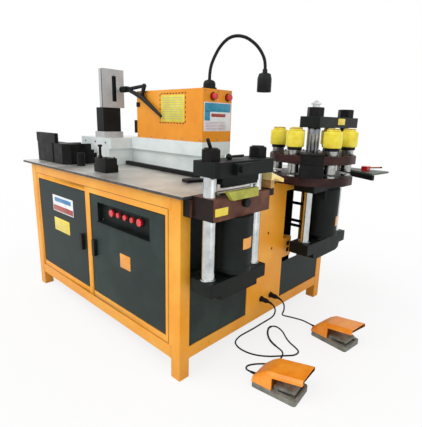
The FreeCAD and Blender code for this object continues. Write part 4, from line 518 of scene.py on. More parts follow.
def table_steel():
    material, tree = new_material("worn_table_steel")
    place = add(tree, "ShaderNodeTexCoord").outputs["Object"]
    clouds = add(tree, "ShaderNodeTexNoise", {"Vector": place},
                 {"Scale": 1000.0 / WEAR_MM, "Detail": 6.0, "Roughness": 0.62}).outputs["Fac"]
    metal = add(tree, "ShaderNodeValToRGB", {"Fac": clouds},
                stops=[(at, linear(code)) for at, code in WEAR_STOPS]).outputs["Color"]
    colour = add(tree, "ShaderNodeMix", {"Factor": rust_and_reflection_share(tree, place), "A": metal},
                 {"B": linear(RUST_AND_REFLECTION_COLOUR)}, data_type="RGBA")
    gloss = add(tree, "ShaderNodeMapRange", {"Value": clouds},
                {"From Min": GLOSS_STOPS[0], "From Max": GLOSS_STOPS[1],
                 "To Min": TABLE_ROUGH[0], "To Max": TABLE_ROUGH[1]})
    along = add(tree, "ShaderNodeMapping", {"Vector": place}, {"Scale": ALONG_X})
    scratches = add(tree, "ShaderNodeTexNoise", {"Vector": along.outputs[0]},
                    {"Scale": 1000.0 / SCRATCH_MM, "Detail": 3.0})
    bump = add(tree, "ShaderNodeBump", {"Height": scratches.outputs["Fac"]},
               {"Strength": SCRATCH_STRENGTH, "Distance": SCRATCH_DEPTH_M})
    top = add(tree, "ShaderNodeBsdfPrincipled",
              {"Base Color": colour.outputs["Result"], "Roughness": gloss.outputs[0],
               "Normal": bump.outputs[0]}, {"Metallic": TABLE_METALLIC})
    both = add(tree, "ShaderNodeMixShader",
               {0: inside_box(tree, place, *PLATE_SHADE_BOX), 1: top.outputs[0],
                2: shader_of(tree, place, "shaded_plate_edge")})
    add(tree, "ShaderNodeOutputMaterial", {"Surface": both.outputs[0]})
    return material


PAINTS["worn_table_steel"] = table_steel()
print("table steel nodes:", len(PAINTS["worn_table_steel"].node_tree.nodes))

# %% [markdown]
# ## A finish for every CAD solid
# Each node of the CAD model is one kind of part, so a table by finish says which nodes have it. It
# gives each node's bevel too: a casting is rounded by millimetres, a turned tool by tenths.

# %% Which finish each node has, with its bevel in millimetres
NODE_LOOKS = {
    "amber_enamel": {"frame": 2.0, "side_column": 1.0},
    "orange_enamel": {"control_box": 1.5},
    "dark_textured_paint": {"door_left": 0.8, "door_right": 0.8, "side_covers": 0.5,
                            "oil_tank": 1.5},
    "press_dark_paint": {"shear_yokes": 1.6, "shear_cylinder": 1.5, "punch_yokes": 1.6,
                         "punch_cylinder": 1.5, "punch_platform": 1.6, "control_panel": 0.4},
    "maroon_paint": {"shear_platform": 1.6},
    "turret_paint": {"turret_plates": 2.0},
    "white_enamel": {"bend_housing": 1.8},
    "light_grey_enamel": {"gauge_housing": 1.2, "power_pack": 1.0},
    "lime_paint": {"shear_guard": 1.0},
    "hood_orange_paint": {"foot_hoods": 3.0},
    "black_satin_paint": {"lamp_neck": 0.0, "lamp_head": 0.8, "gauge_lever": 0.8,
                          "latch_left": 1.0, "latch_right": 1.0},
    "blacked_steel": {"die_frame": 1.2, "roller_base": 1.0, "guide_roller": 0.5,
                      "shear_nuts": 1.0, "punch_nuts": 1.0, "turret_hub": 1.0},
    "black_plastic": {"gauge_block": 1.5, "box_fittings": 1.0, "shear_knob": 1.0,
                      "cable_sockets": 0.8},
    "red_plastic": {**{"panel_button_%d" % k: 0.8 for k in range(1, 6)},
                    "box_button_near": 0.8, "box_button_far": 0.8, "table_stop": 1.0},
    "cast_grey": {"foot_bases": 2.0, "pedal_near": 1.5, "pedal_far": 1.5},
    "yellow_polyurethane": {"elastomers": 1.5, "active_elastomer": 1.5},
    "hard_chrome": {"shear_rods": 1.0, "punch_rods": 1.0},
    "ground_tool_steel": {"punch_guides": 0.8, "punches": 0.8, "active_punch": 0.8, "dies": 0.8},
    "ground_steel": {"bend_ram": 1.0},
    "dull_side_steel": {"side_table": 0.8},
    "worn_table_steel": {"table_plate": 1.0},
    "cable_rubber": {"cable_near": 0.0, "cable_far": 0.0, "hydraulic_pipes": 0.0},
}
print("nodes with a finish:", sum(len(looks) for looks in NODE_LOOKS.values()))

# %% Machined faces, inserts and second paints, each with its box in millimetres
ZONES = {
    # the two slots of the switch box, painted black inside as their shade
    "side_column": [("black_plastic", (741, 181.5, 426.5), (748.5, 212.5, 491.5))],
    # dark mounting blocks, painted shade on the front face, and the lower blade's bright edge
    "shear_platform": [("press_dark_paint", (700, -700, 700), (789.9, -200, 900)),
                       ("shaded_maroon", (789.9, -611, 777), (906, -608.6, 869)),
                       ("polished_edge_steel", (789, -545, 868.05), (920, -300, 900))],
    # the rest beside the guard: cream top, then painted shade: an ochre lower end and dark below the
    # table
    "shear_guard": [("cream_paint", (800, -242.5, 872), (960, -60, 1000)),
                    ("ochre_painted_shade", (800, -242.5, 872), (960, -213.5, 909)),
                    ("press_dark_paint", (800, -242.5, 700), (960, -60, 872.1))],
    # the upper blade
    "shear_yokes": [("polished_edge_steel", (780, -560, 880), (930, -290, 904.5))],
    # the gauge's slot painted black as its shade, its lever pin, and a painted shadow line along the
    # joint between its two halves
    "gauge_housing": [("black_plastic", (-330, -268, 1260), (-320.8, -238, 1414)),
                      ("black_satin_paint", (-288, -260, 1300), (-200, -180, 1370)),
                      ("black_satin_paint", (-332, -338, 1224), (-323, -330, 1449))],
    # yellow caps with a brown rim
    "punches": [("yellow_polyurethane", (600, -50, 1121.6), (1100, 450, 1140)),
                ("brown_cap_rim", (600, -50, 1131.0), (1100, 450, 1135.6))],
    "active_punch": [("yellow_polyurethane", (600, 300, 1121.6), (1100, 450, 1140)),
                     ("brown_cap_rim", (600, 300, 1131.0), (1100, 450, 1135.6))],
    # black rod ends in the nuts, and the oily part of the near punch rod
    "shear_rods": [("black_oxide_screw", (800, -620, 1040), (900, -230, 1070))],
    "punch_rods": [("black_oxide_screw", (800, 500, 1225), (900, 620, 1300)),
                   ("streaked_chrome", (800, 140, 1000), (900, 260, 1180))],
    # copper rod with a black end
    "table_stop": [("copper_bar", (1039.5, 480, 915), (1111, 540, 940)),
                   ("black_plastic", (1098, 480, 915), (1111, 540, 940))],
    # black ring on top of each sleeve, and the index block's face
    "punch_guides": [("black_oxide_screw", (600, -50, 1029.0), (1100, 450, 1046))],
    "turret_plates": [("blacked_steel", (911, -40, 960), (1009, 40, 1020))],
    # stems of the red buttons
    **{"panel_button_%d" % k: [("black_plastic", (150, -616.2, 640), (500, -600, 740))]
       for k in range(1, 6)},
}
print("nodes with a second finish:", len(ZONES))

# %% [markdown]
# ## Softened edges
# A machined or welded edge is never knife sharp, and the light that it catches is what tells the
# eye that a block is real. A CAD mesh is loose triangles, so modifiers weld it, join its flat
# faces and bevel its edges, and the mesh itself stays as it came. A small Geometry Nodes tree
# shades all but the sharp turns smooth. On plates, the large faces then set the normals along the
# bevels, or a flat plate would show its triangles. Turned pieces keep the plain smooth shading,
# which their long round faces need.

# %% A tree that keeps sharp turns sharp
SHARP_TURN_DEG = 32


def smooth_tree():
    """Shades all faces smooth and keeps an edge sharp where the surface turns more than Angle."""
    tree = bpy.data.node_groups.new("smooth_but_sharp_turns", "GeometryNodeTree")
    tree.interface.new_socket("Geometry", in_out="INPUT", socket_type="NodeSocketGeometry")
    angle = tree.interface.new_socket("Angle", in_out="INPUT", socket_type="NodeSocketFloat")
    tree.interface.new_socket("Geometry", in_out="OUTPUT", socket_type="NodeSocketGeometry")
    angle.default_value = math.radians(SHARP_TURN_DEG)
    given = add(tree, "NodeGroupInput").outputs
    all_smooth = add(tree, "GeometryNodeSetShadeSmooth", {"Geometry": given["Geometry"]},
                     {"Shade Smooth": True}, domain="FACE")
    bend = add(tree, "GeometryNodeInputMeshEdgeAngle").outputs["Unsigned Angle"]
    sharp = add(tree, "FunctionNodeCompare", {0: bend, 1: given["Angle"]},
                operation="GREATER_THAN", data_type="FLOAT")
    keep = add(tree, "GeometryNodeSetShadeSmooth",
               {"Geometry": all_smooth.outputs[0], "Selection": sharp.outputs[0]},
               {"Shade Smooth": False}, domain="EDGE")
    add(tree, "NodeGroupOutput", {"Geometry": keep.outputs[0]})
    return tree


SMOOTH = smooth_tree()
print("sharp above", SHARP_TURN_DEG, "degrees")

# %% Finish and soften each node
TURNED_NODES = {"shear_rods", "punch_rods", "shear_cylinder", "punch_cylinder", "punches",
                "active_punch", "punch_guides", "elastomers", "active_elastomer", "shear_knob",
                "guide_roller", "roller_base", "turret_hub", "lamp_head", "hydraulic_pipes", "dies"}
WELD_GAP_M = 0.00001
FLAT_TURN_DEG, BEVEL_TURN_DEG = 0.5, 35
BEVEL_STEPS = 2


def soften(piece, bevel_mm):
    weld = piece.modifiers.new("weld", "WELD")
    weld.merge_threshold = WELD_GAP_M
    flat = piece.modifiers.new("join_flat_faces", "DECIMATE")
    flat.decimate_type = "DISSOLVE"
    flat.angle_limit = math.radians(FLAT_TURN_DEG)
    if bevel_mm:
        bevel = piece.modifiers.new("bevel", "BEVEL")
        bevel.width = bevel_mm / 1000
        bevel.segments = BEVEL_STEPS
        bevel.limit_method = "ANGLE"
        bevel.angle_limit = math.radians(BEVEL_TURN_DEG)
    shade = piece.modifiers.new("shade", "NODES")
    shade.node_group = SMOOTH
    if piece.name not in TURNED_NODES:
        even = piece.modifiers.new("even_normals", "WEIGHTED_NORMAL")
        even.keep_sharp = True


for finish, looks in NODE_LOOKS.items():
    for node, bevel_mm in looks.items():
        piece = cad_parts[node]
        piece.data.materials.clear()
        zoned = node in ZONES
        piece.data.materials.append(material_of(node + "_" + finish, finish, ZONES[node]) if zoned
                                    else PAINTS[finish])
        soften(piece, bevel_mm)
left_out = set(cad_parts) - {n for looks in NODE_LOOKS.values() for n in looks}
print("nodes without a finish:", sorted(left_out))

# %% [markdown]
# ## Repeats
# Screws, dashes, ribs and weld ripples repeat. They could be copied in a loop, but a Geometry
# Nodes tree says the rule once: put this item on every point, or every so many millimetres along
# this path, and turn it to face outwards. The result is realised, painted and turned into one
# plain mesh, which rides on one body.

# %% Two trees for repeats
def new_group(name, inputs):
    tree = bpy.data.node_groups.new(name, "GeometryNodeTree")
    tree.interface.new_socket("Geometry", in_out="INPUT", socket_type="NodeSocketGeometry")
    for label, kind in inputs:
        tree.interface.new_socket(label, in_out="INPUT", socket_type="NodeSocket" + kind)
    tree.interface.new_socket("Geometry", in_out="OUTPUT", socket_type="NodeSocketGeometry")
    return tree, add(tree, "NodeGroupInput").outputs


def place_items(tree, given, points, rotation):
    item = add(tree, "GeometryNodeObjectInfo", {"Object": given["Item"]})
    placed = add(tree, "GeometryNodeInstanceOnPoints",
                 {"Points": points, "Instance": item.outputs["Geometry"], "Rotation": rotation})
    real = add(tree, "GeometryNodeRealizeInstances", {"Geometry": placed.outputs[0]})
    painted = add(tree, "GeometryNodeSetMaterial",
                  {"Geometry": real.outputs[0], "Material": given["Finish"]})
    add(tree, "NodeGroupOutput", {"Geometry": painted.outputs[0]})
    return tree


def points_tree():
    """An Item on every vertex, with its top turned to Direction."""
    tree, given = new_group("items_on_points", (("Item", "Object"), ("Direction", "Vector"),
                                                ("Finish", "Material")))
    turn = add(tree, "FunctionNodeAlignRotationToVector", {"Vector": given["Direction"]}, axis="Z")
    return place_items(tree, given, given["Geometry"], turn.outputs[0])


def path_tree():
    """An Item every Spacing metres along the edges, its Z along them and its Y near Direction."""
    tree, given = new_group("items_along_path", (("Item", "Object"), ("Spacing", "Float"),
                                                 ("Direction", "Vector"), ("Finish", "Material")))
    line = add(tree, "GeometryNodeMeshToCurve", {"Mesh": given["Geometry"]})
    even = add(tree, "GeometryNodeResampleCurve",
               {"Curve": line.outputs[0], "Length": given["Spacing"]}, mode="LENGTH")
    along = add(tree, "GeometryNodeInputTangent")
    turn = add(tree, "FunctionNodeAlignRotationToVector", {"Vector": along.outputs[0]}, axis="Z")
    level = add(tree, "FunctionNodeAlignRotationToVector",
                {"Rotation": turn.outputs[0], "Vector": given["Direction"]},
                axis="Y", pivot_axis="Z")
    return place_items(tree, given, even.outputs[0], level.outputs[0])


ON_POINTS, ALONG_PATH = points_tree(), path_tree()
print("trees:", ON_POINTS.name, ALONG_PATH.name)

# %% From a tree or a mesh to a piece
MADE = {}


def finish_piece(name, mesh, body):
    """A mesh in its place becomes a piece that rides on a body."""
    mesh.name = name
    piece = bpy.data.objects.new(name, mesh)
    bpy.context.collection.objects.link(piece)
    shade = piece.modifiers.new("shade", "NODES")
    shade.node_group = SMOOTH
    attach(piece, body)
    MADE[name] = len(mesh.polygons)
    return piece


def new_mesh(name, verts_mm, faces, finish=None, edges=()):
    mesh = bpy.data.meshes.new(name)
    mesh.from_pydata([tuple(v / 1000 for v in p) for p in verts_mm], edges, faces)
    if finish:
        mesh.materials.append(PAINTS[finish])
    return mesh


def repeat(name, tree, carrier, item, finish, direction, body, spacing=0.0):
    """Runs a tree of repeats on a carrier mesh and keeps the result as one piece."""
    source = bpy.data.objects.new(name + "_carrier", carrier)
    item_object = bpy.data.objects.new(name + "_item", item)
    for thing in (source, item_object):
        bpy.context.collection.objects.link(thing)
    modifier = source.modifiers.new("repeats", "NODES")
    modifier.node_group = tree
    values = {"Item": item_object, "Direction": direction, "Finish": PAINTS[finish],
              "Spacing": spacing}
    for socket in tree.interface.items_tree:
        if socket.in_out == "INPUT" and socket.name in values:
            modifier[socket.identifier] = values[socket.name]
    graph = bpy.context.evaluated_depsgraph_get()
    mesh = bpy.data.meshes.new_from_object(source.evaluated_get(graph))
    source.modifiers.clear()
    for thing in (source, item_object):
        bpy.data.objects.remove(thing)
    return finish_piece(name, mesh, body)


print("pieces so far:", len(MADE))

# %% [markdown]
# ## Turned shapes and tubes
# Screw heads, nuts, rings and lenses come off a lathe, so they are made the same way: an outline
# of radius and height is turned round an axis. A ring of the outline may have six flats, which
# gives a hexagon or its socket without cutting. A tube follows points that were read from a
# smooth curve and may change its radius on the way, which a curve's own bevel can't do per point
# as simply.

# %% Lathe and tube
def rings_to_faces(rings, segments):
    """Side faces between rings of points, and a flat face at each end."""
    faces = []
    for k in range(rings - 1):
        for s in range(segments):
            a, b = k * segments + s, k * segments + (s + 1) % segments
            faces.append((a, b, b + segments, a + segments))
    faces.append(tuple(range(segments - 1, -1, -1)))
    faces.append(tuple(range((rings - 1) * segments, rings * segments)))
    return faces


def lathe(name, outline, segments=20, hexagons=(), finish=None, middle=(0, 0, 0), axis="Z"):
    """Turns (radius, height) points round an axis. Rings named in hexagons have six flats."""
    verts = []
    for k, (radius, height) in enumerate(outline):
        for s in range(segments):
            angle = 2 * math.pi * s / segments
            reach = radius
            if k in hexagons:
                reach = radius / math.cos(angle % (math.pi / 3) - math.pi / 6)
            u, v = reach * math.cos(angle), reach * math.sin(angle)
            turned = {"Z": (u, v, height), "X": (height, u, v), "Y": (v, height, u)}[axis]
            verts.append(tuple(m + t for m, t in zip(middle, turned)))
    return new_mesh(name, verts, rings_to_faces(len(outline), segments), finish)


TUBE_SEGMENTS = 14
FIRST_SIDE = Vector((0.31, 0.17, 0.93))


def tube_along(name, points, radii_mm, finish, body):
    """A closed tube on points in metres, with its own radius at each point."""
    verts = []
    side = FIRST_SIDE
    for k, point in enumerate(points):
        before, after = points[max(k - 1, 0)], points[min(k + 1, len(points) - 1)]
        along = (after - before).normalized()
        side = (side - along * side.dot(along)).normalized()
        other = along.cross(side)
        for s in range(TUBE_SEGMENTS):
            angle = 2 * math.pi * s / TUBE_SEGMENTS
            out = side * math.cos(angle) + other * math.sin(angle)
            verts.append(point * 1000 + out * radii_mm[k])
    faces = rings_to_faces(len(points), TUBE_SEGMENTS)
    return finish_piece(name, new_mesh(name, verts, faces, finish), body)


print("tubes have", TUBE_SEGMENTS, "sides")

# %% [markdown]
# ## Cables of the foot switches
# Each foot switch hangs on a free cable of 8 mm. Straight runs with rounded corners would look
# like bent wire. A NURBS curve with the same points as the CAD route is the smooth line that a
# rubber cable takes, and its round bevel gives the sheath.

# %% Routes and the smooth line
CABLE_RADIUS_M = 0.004
CABLE_ROUTES_MM = {
    "cable_near": (1.57, [
        (799, -38, 205), (825, -38, 203), (846, -37, 184), (847, -38, 154), (834, -44, 127),
        (812, -64, 106), (794, -91, 88), (772, -123, 65), (746, -152, 42), (722, -184, 20),
        (727, -226, 7), (766, -246, 5), (811, -250, 5), (856, -241, 5), (896, -220, 5),
        (931, -191, 5), (960, -157, 5), (988, -123, 5), (1016, -90, 5), (1018, -48, 5),
        (980, -27, 5), (936, -12, 5), (896, 12, 7), (858, 36, 20), (816, 34, 34), (792, -2, 36),
        (808, -42, 22), (840, -68, 8), (880, -86, 5), (922, -99, 6), (960, -118, 13),
        (984, -152, 18), (990, -194, 14), (974, -230, 8), (948, -258, 5), (920.3, -286.7, 5),
        (899.7, -321, 5), (900, -340.5, 6.5), (910.6, -356.9, 9.5), (928.3, -365.1, 12.5),
        (969.4, -360.1, 15)]),
    "cable_far": (0.445, [
        (799, 50, 200), (825, 50, 197), (846, 49, 178), (848, 52, 148), (838, 60, 121),
        (822, 76, 97), (811, 102, 74), (808, 138, 54), (816, 176, 36), (834, 212, 20),
        (870, 238, 11), (912, 236, 9), (940, 226, 13), (962.3, 219.98, 15)]),
}


def nurbs(name, route_mm, resolution=8):
    curve = bpy.data.curves.new(name, "CURVE")
    curve.dimensions = "3D"
    spline = curve.splines.new("NURBS")
    spline.points.add(len(route_mm) - 1)
    for point, (x, y, z) in zip(spline.points, route_mm):
        point.co = (x / 1000, y / 1000, z / 1000, 1.0)
    spline.order_u = 3
    spline.use_endpoint_u = True
    spline.resolution_u = resolution
    return curve


def points_of(curve):
    """The points of a curve that has no bevel yet, in metres."""
    holder = bpy.data.objects.new("line", curve)
    bpy.context.collection.objects.link(holder)
    graph = bpy.context.evaluated_depsgraph_get()
    mesh = bpy.data.meshes.new_from_object(holder.evaluated_get(graph))
    points = [v.co.copy() for v in mesh.vertices]
    bpy.data.objects.remove(holder)
    bpy.data.meshes.remove(mesh)
    return points


def stretch_of(points, start_mm, length_mm, step_mm):
    """Evenly spaced points of a line, from start_mm to start_mm + length_mm along it."""
    found, walked, wanted = [], 0.0, start_mm
    for a, b in zip(points, points[1:]):
        run = (b - a).length * 1000
        while wanted <= walked + run and wanted <= start_mm + length_mm:
            found.append(a.lerp(b, (wanted - walked) / run))
            wanted += step_mm
        walked += run
    return found


print("cable points:", {node: len(route) for node, (_, route) in CABLE_ROUTES_MM.items()})

# %% [markdown]
# A cable would break where it leaves a socket if nothing eased the bend. So a ribbed rubber
# relief, thick at the socket and thin at its end, holds both ends. A braided sleeve between two
# bands keeps the near cable's loop together. All of them follow the same smooth line, and none
# goes below the floor.

# %% Strain reliefs, sleeve and bands
RELIEF_LENGTH, RELIEF_STEP = 30.0, 1.5
RELIEF_RADIUS, RELIEF_TAPER, RELIEF_GROOVE = 7.4, 2.6, 0.7
SLEEVE_START, SLEEVE_LENGTH, SLEEVE_RADIUS = 1010.0, 150.0, 5.4
BAND_STARTS, BAND_LENGTH, BAND_RADIUS = (1006.0, 1156.0), 8.0, 6.0
SLEEVE_STEP, BAND_STEP, SLEEVE_GAP, BAND_GAP = 3.0, 2.0, 0.2, 0.1   # a gap is left to the floor


def ribbed_relief(name, points):
    """A tapered, ribbed strain relief on the first points of a line."""
    taper = stretch_of(points, 0.0, RELIEF_LENGTH, RELIEF_STEP)
    radii = [RELIEF_RADIUS - RELIEF_TAPER * k / (len(taper) - 1) - RELIEF_GROOVE * (k % 2)
             for k in range(len(taper))]
    return tube_along(name, taper, radii, "black_plastic", "machine")


def above_floor(points, radius, gap):
    """The radius at each point, made smaller where the tube would reach the floor."""
    return [min(radius, point.z * 1000 - gap) for point in points]


def sleeve_and_bands(points):
    sleeve = stretch_of(points, SLEEVE_START, SLEEVE_LENGTH, SLEEVE_STEP)
    pieces = [tube_along("cable_sleeve", sleeve, above_floor(sleeve, SLEEVE_RADIUS, SLEEVE_GAP),
                         "braided_sleeve", "machine")]
    for k, start in enumerate(BAND_STARTS):
        band = stretch_of(points, start, BAND_LENGTH, BAND_STEP)
        pieces.append(tube_along("cable_band_%d" % k, band,
                                 above_floor(band, BAND_RADIUS, BAND_GAP),
                                 "black_plastic", "machine"))
    return pieces


print("relief", RELIEF_LENGTH, "mm, sleeve", SLEEVE_LENGTH, "mm")

# %% Two cables
def make_cable(node, length, route):
    curve = nurbs(node + "_sheath", route)
    points = points_of(curve)
    pieces = [ribbed_relief(node + "_relief", points),
              ribbed_relief(node + "_gland_relief", points[::-1])]
    if node == "cable_near":
        pieces += sleeve_and_bands(points)
    curve.bevel_depth = CABLE_RADIUS_M
    curve.bevel_resolution = 4
    curve.use_fill_caps = True
    curve.materials.append(PAINTS["cable_rubber"])
    cable = bpy.data.objects.new(node + "_sheath", curve)
    bpy.context.collection.objects.link(cable)
    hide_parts(node)
    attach(cable, "machine")
    print(node, length, "m with", len(pieces), "pieces on it")


for node, (length, route) in CABLE_ROUTES_MM.items():
    make_cable(node, length, route)

# %% [markdown]
# ## Blank plates
# The machine carries vinyl stickers. Here each is a plain coloured plate with bare bands, so
# nothing can be read on it. A picture on the door's material would be flat. A thin plate with
# rounded corners and a soft edge catches the light along its rim, as a sticker does.

# %% Flat plate
PLATE_SINK, PLATE_SOFT_EDGE, PLATE_WALL_SHARE = 0.1, 0.25, 0.7
CORNER_STEPS = 4
FRONT, SIDE, UPWARD = (1, 0, 0), (0, 1, 0), (0, 0, 1)


def rounded_outline(width, height, corner_r):
    outline = []
    for u, v, start in ((width, height, 0), (0, height, 90), (0, 0, 180), (width, 0, 270)):
        u += corner_r if u == 0 else -corner_r
        v += corner_r if v == 0 else -corner_r
        for k in range(CORNER_STEPS + 1):
            angle = math.radians(start + k * 90 / CORNER_STEPS)
            outline.append((u + corner_r * math.cos(angle), v + corner_r * math.sin(angle)))
    return outline


def plate(name, corner, across, width, height, finish, body, slot, thickness=0.5, corner_r=3.0):
    """A thin plate on a face. corner is its lower corner, across the way its width runs."""
    across, upward = Vector(across), Vector(UPWARD)
    outward = across.cross(upward)
    outline = rounded_outline(width, height, corner_r)
    verts = []
    for depth, inset in ((-PLATE_SINK, 0.0), (thickness * PLATE_WALL_SHARE, 0.0),
                         (thickness, PLATE_SOFT_EDGE)):
        for u, v in outline:
            u += inset if u < width / 2 else -inset
            v += inset if v < height / 2 else -inset
            verts.append(Vector(corner) + across * u + upward * v + outward * depth)
    faces = rings_to_faces(3, len(outline))
    return finish_piece(name, new_mesh(name, verts, faces, finish), body)


print("plates rise", 0.5, "mm from their face")

# %% Flat plates on doors, box, frame and presses
DOOR_Y, BOX_Y, BOX_X, FRAME_Y = -638.0, -200.0, 424.0, -640.0
BAND = 0.5                            # a band lies on a plate, half a millimetre further out
PLATES = {
    "door_plate_white": ((-457, DOOR_Y, 585), FRONT, 267, 102, "white_vinyl", "door_left",
                         "housing_white"),
    "door_plate_blue_band": ((-430, DOOR_Y - BAND, 648), FRONT, 213, 26, "blue_vinyl",
                             "door_left", "housing_white", 0.3),
    "door_plate_red_band": ((-452, DOOR_Y - BAND, 590), FRONT, 257, 34, "red_vinyl",
                            "door_left", "housing_white", 0.3),
    "door_plate_yellow": ((-453, DOOR_Y, 460), FRONT, 201, 83, "yellow_vinyl", "door_left",
                          "guard_lime"),
    "door_plate_amber": ((291, DOOR_Y, 423), FRONT, 90, 75, "amber_vinyl", "door_right",
                         "frame_paint"),
    "box_plate_yellow": ((84, BOX_Y, 1146), FRONT, 198, 146, "faded_yellow_vinyl", "machine",
                         "guard_lime"),
    "box_plate_white": ((BOX_X, -190, 1103), SIDE, 212, 150, "white_vinyl", "machine",
                        "housing_white"),
    "box_plate_teal_band": ((BOX_X + BAND, -186, 1204), SIDE, 204, 45, "teal_vinyl", "machine",
                            "housing_white", 0.3),
    "box_plate_teal_block": ((BOX_X + BAND, -186, 1158), SIDE, 42, 48, "teal_vinyl", "machine",
                             "housing_white", 0.3),
    "box_plate_red_band": ((BOX_X + BAND, -134, 1178), SIDE, 112, 17, "red_vinyl", "machine",
                           "housing_white", 0.3),
    # four fine lines of painted shade where the door surround meets the square tubes
    "frame_seam_1": ((-673, FRAME_Y, 796), FRONT, 1346, 2.4, "seam_shadow", "machine",
                     "frame_paint", 0.3, 0.6),
    "frame_seam_2": ((-673, FRAME_Y, 161), FRONT, 1346, 2.4, "seam_shadow", "machine",
                     "frame_paint", 0.3, 0.6),
    "frame_seam_3": ((-674, FRAME_Y, 161), FRONT, 2.4, 637, "seam_shadow", "machine",
                     "frame_paint", 0.3, 0.6),
    "frame_seam_4": ((671.6, FRAME_Y, 161), FRONT, 2.4, 637, "seam_shadow", "machine",
                     "frame_paint", 0.3, 0.6),
    "platform_plate_yellow": ((905, -600, 799), SIDE, 75, 32, "yellow_vinyl", "machine",
                              "guard_lime"),
    "press_plate_yellow": ((906, 352, 1153), SIDE, 83, 33, "yellow_vinyl", "punch_press",
                           "guard_lime"),
}
for name, spec in PLATES.items():
    plate(name, *spec)
print("flat plates:", len(PLATES))

# %% Curved plates on the two cylinders
CURVE_STEPS, CURVE_DEPTHS = 12, (-0.3, 0.5)


def curved_plate(name, middle, radius, y_range, z_range):
    """A plate that follows the +X side of an upright cylinder."""
    verts, n = [], CURVE_STEPS + 1
    for depth in CURVE_DEPTHS:
        for z in z_range:
            for k in range(n):
                y = y_range[0] + (y_range[1] - y_range[0]) * k / CURVE_STEPS
                angle = math.asin((y - middle[1]) / radius)
                reach = radius + depth
                verts.append((middle[0] + reach * math.cos(angle),
                              middle[1] + reach * math.sin(angle), z))
    faces = [(0, 2 * n, 3 * n, n), (n - 1, 2 * n - 1, 4 * n - 1, 3 * n - 1)]
    for k in range(CURVE_STEPS):
        a = 2 * n + k
        faces += [(a, a + 1, a + 1 + n, a + n), (k + n, k + n + 1, k + 1, k),
                  (k, k + 1, a + 1, a), (a + n, a + n + 1, k + n + 1, k + n)]
    finish_piece(name, new_mesh(name, verts, faces, "amber_vinyl"), "machine")


curved_plate("shear_cylinder_plate", (850, -426), 83.1, (-450, -389), (639, 687))
curved_plate("punch_cylinder_plate", (850, 377), 91.1, (375, 421), (587, 644))
print("pieces so far:", len(MADE))

# %% [markdown]
# ## Dashes and rules
# The yellow plate on the box has a dashed border, and the plates carry printed lines. Real ink has
# no height, but a line of a few tenths of a millimetre reads the same and is real geometry. The
# dashes run along a path, and the rules sit on points under each other.

# %% Dashed border
DASH_WIDE, DASH_THICK, DASH_LONG = 5.0, 0.35, 12.0
DASH_LIFT, DASH_PITCH_M = 0.45, 0.026


def small_bar(name, wide, thick, long):
    """A bar with its length along Z and its thickness along Y, chamfered on top."""
    x, y, z, c = wide / 2, thick, long / 2, thick * 0.4
    ring = [(-x, 0), (x, 0), (x, y - c), (x - c, y), (-x + c, y), (-x, y - c)]
    verts = [(u, v, w) for w in (-z, z) for u, v in ring]
    return new_mesh(name, verts, rings_to_faces(2, len(ring)))


def dashes(name, corner, across, width, height, body):
    """A dashed frame just outside a plate's edge."""
    across, upward = Vector(across), Vector(UPWARD)
    outward = across.cross(upward)
    corners = [Vector(corner) + across * u + upward * v + outward * DASH_LIFT
               for u, v in ((0, 0), (width, 0), (width, height), (0, height))]
    carrier = new_mesh(name, corners, [], edges=[(0, 1), (1, 2), (2, 3), (3, 0)])
    repeat(name, ALONG_PATH, carrier, small_bar(name, DASH_WIDE, DASH_THICK, DASH_LONG),
           "black_plastic", outward, body, DASH_PITCH_M)


dashes("box_plate_dashes", (74, BOX_Y, 1140), FRONT, 218, 160, "machine")
print("dash faces:", MADE["box_plate_dashes"])

# %% Printed rules
RULE_HALF, RULE_DEPTHS = 1.1, (-0.1, 0.2)


def ruled_lines(name, corner, across, length, drop, count, body, finish="printed_grey_line"):
    """Plain printed rules under each other."""
    across = Vector(across)
    outward = across.cross(Vector(UPWARD))
    places = [Vector(corner) + across * (length / 2) - Vector(UPWARD) * drop * k
              for k in range(count)]
    end = length / 2
    ring = ((-end, -RULE_HALF), (end, -RULE_HALF), (end, RULE_HALF), (-end, RULE_HALF))
    verts = [(u, v, w) for w in RULE_DEPTHS for u, v in ring]
    item = new_mesh(name, verts, rings_to_faces(2, len(ring)))
    if across.y:
        item.transform(Matrix.Rotation(math.radians(90), 4, "Z"))
    repeat(name, ON_POINTS, new_mesh(name, places, []), item, finish, outward, body)


ruled_lines("box_yellow_rules", (98, BOX_Y - BAND, 1276), FRONT, 170, 12.5, 10, "machine")
ruled_lines("box_white_rules", (BOX_X + BAND, -180, 1150), SIDE, 160, 8.0, 6, "machine",
            "pink_print")
ruled_lines("door_yellow_rules", (-433, DOOR_Y - BAND, 524), FRONT, 160, 15.0, 4, "door_left")
print("plates and repeats so far:", len(MADE))

# %% [markdown]
# ## Screws
# Covers and boxes are held by low round heads with a hexagon socket, so that nothing catches on
# them. The bending head and the turret, which carry load, have tall cap screws. A ring with six
# flats in the lathe's outline gives the socket. They sit where such a piece is really fastened: in
# the counterbores, round the edge of the covers, and on both sides of each turret tool.

# %% Two kinds of screw
SCREW_SEGMENTS = 24


def socket_screw(radius):
    """A cap screw's head with its hexagon socket."""
    high, edge, key = radius * 1.1, radius * 0.16, radius * 0.5
    outline = [(radius, -0.3), (radius, high - edge), (radius - edge, high), (key * 1.2, high),
               (key, high - edge), (key, high * 0.45), (0.05, high * 0.4)]
    return lathe("socket_screw", outline, SCREW_SEGMENTS, hexagons=(4, 5))


def dome_screw(radius):
    """A low round head with its hexagon socket."""
    outline = [(radius, -0.2), (radius, radius * 0.12), (radius * 0.85, radius * 0.4),
               (radius * 0.5, radius * 0.56), (radius * 0.42, radius * 0.5),
               (radius * 0.38, radius * 0.2), (0.05, radius * 0.15)]
    return lathe("dome_screw", outline, SCREW_SEGMENTS, hexagons=(4, 5))


print("screw heads have", SCREW_SEGMENTS, "sides")

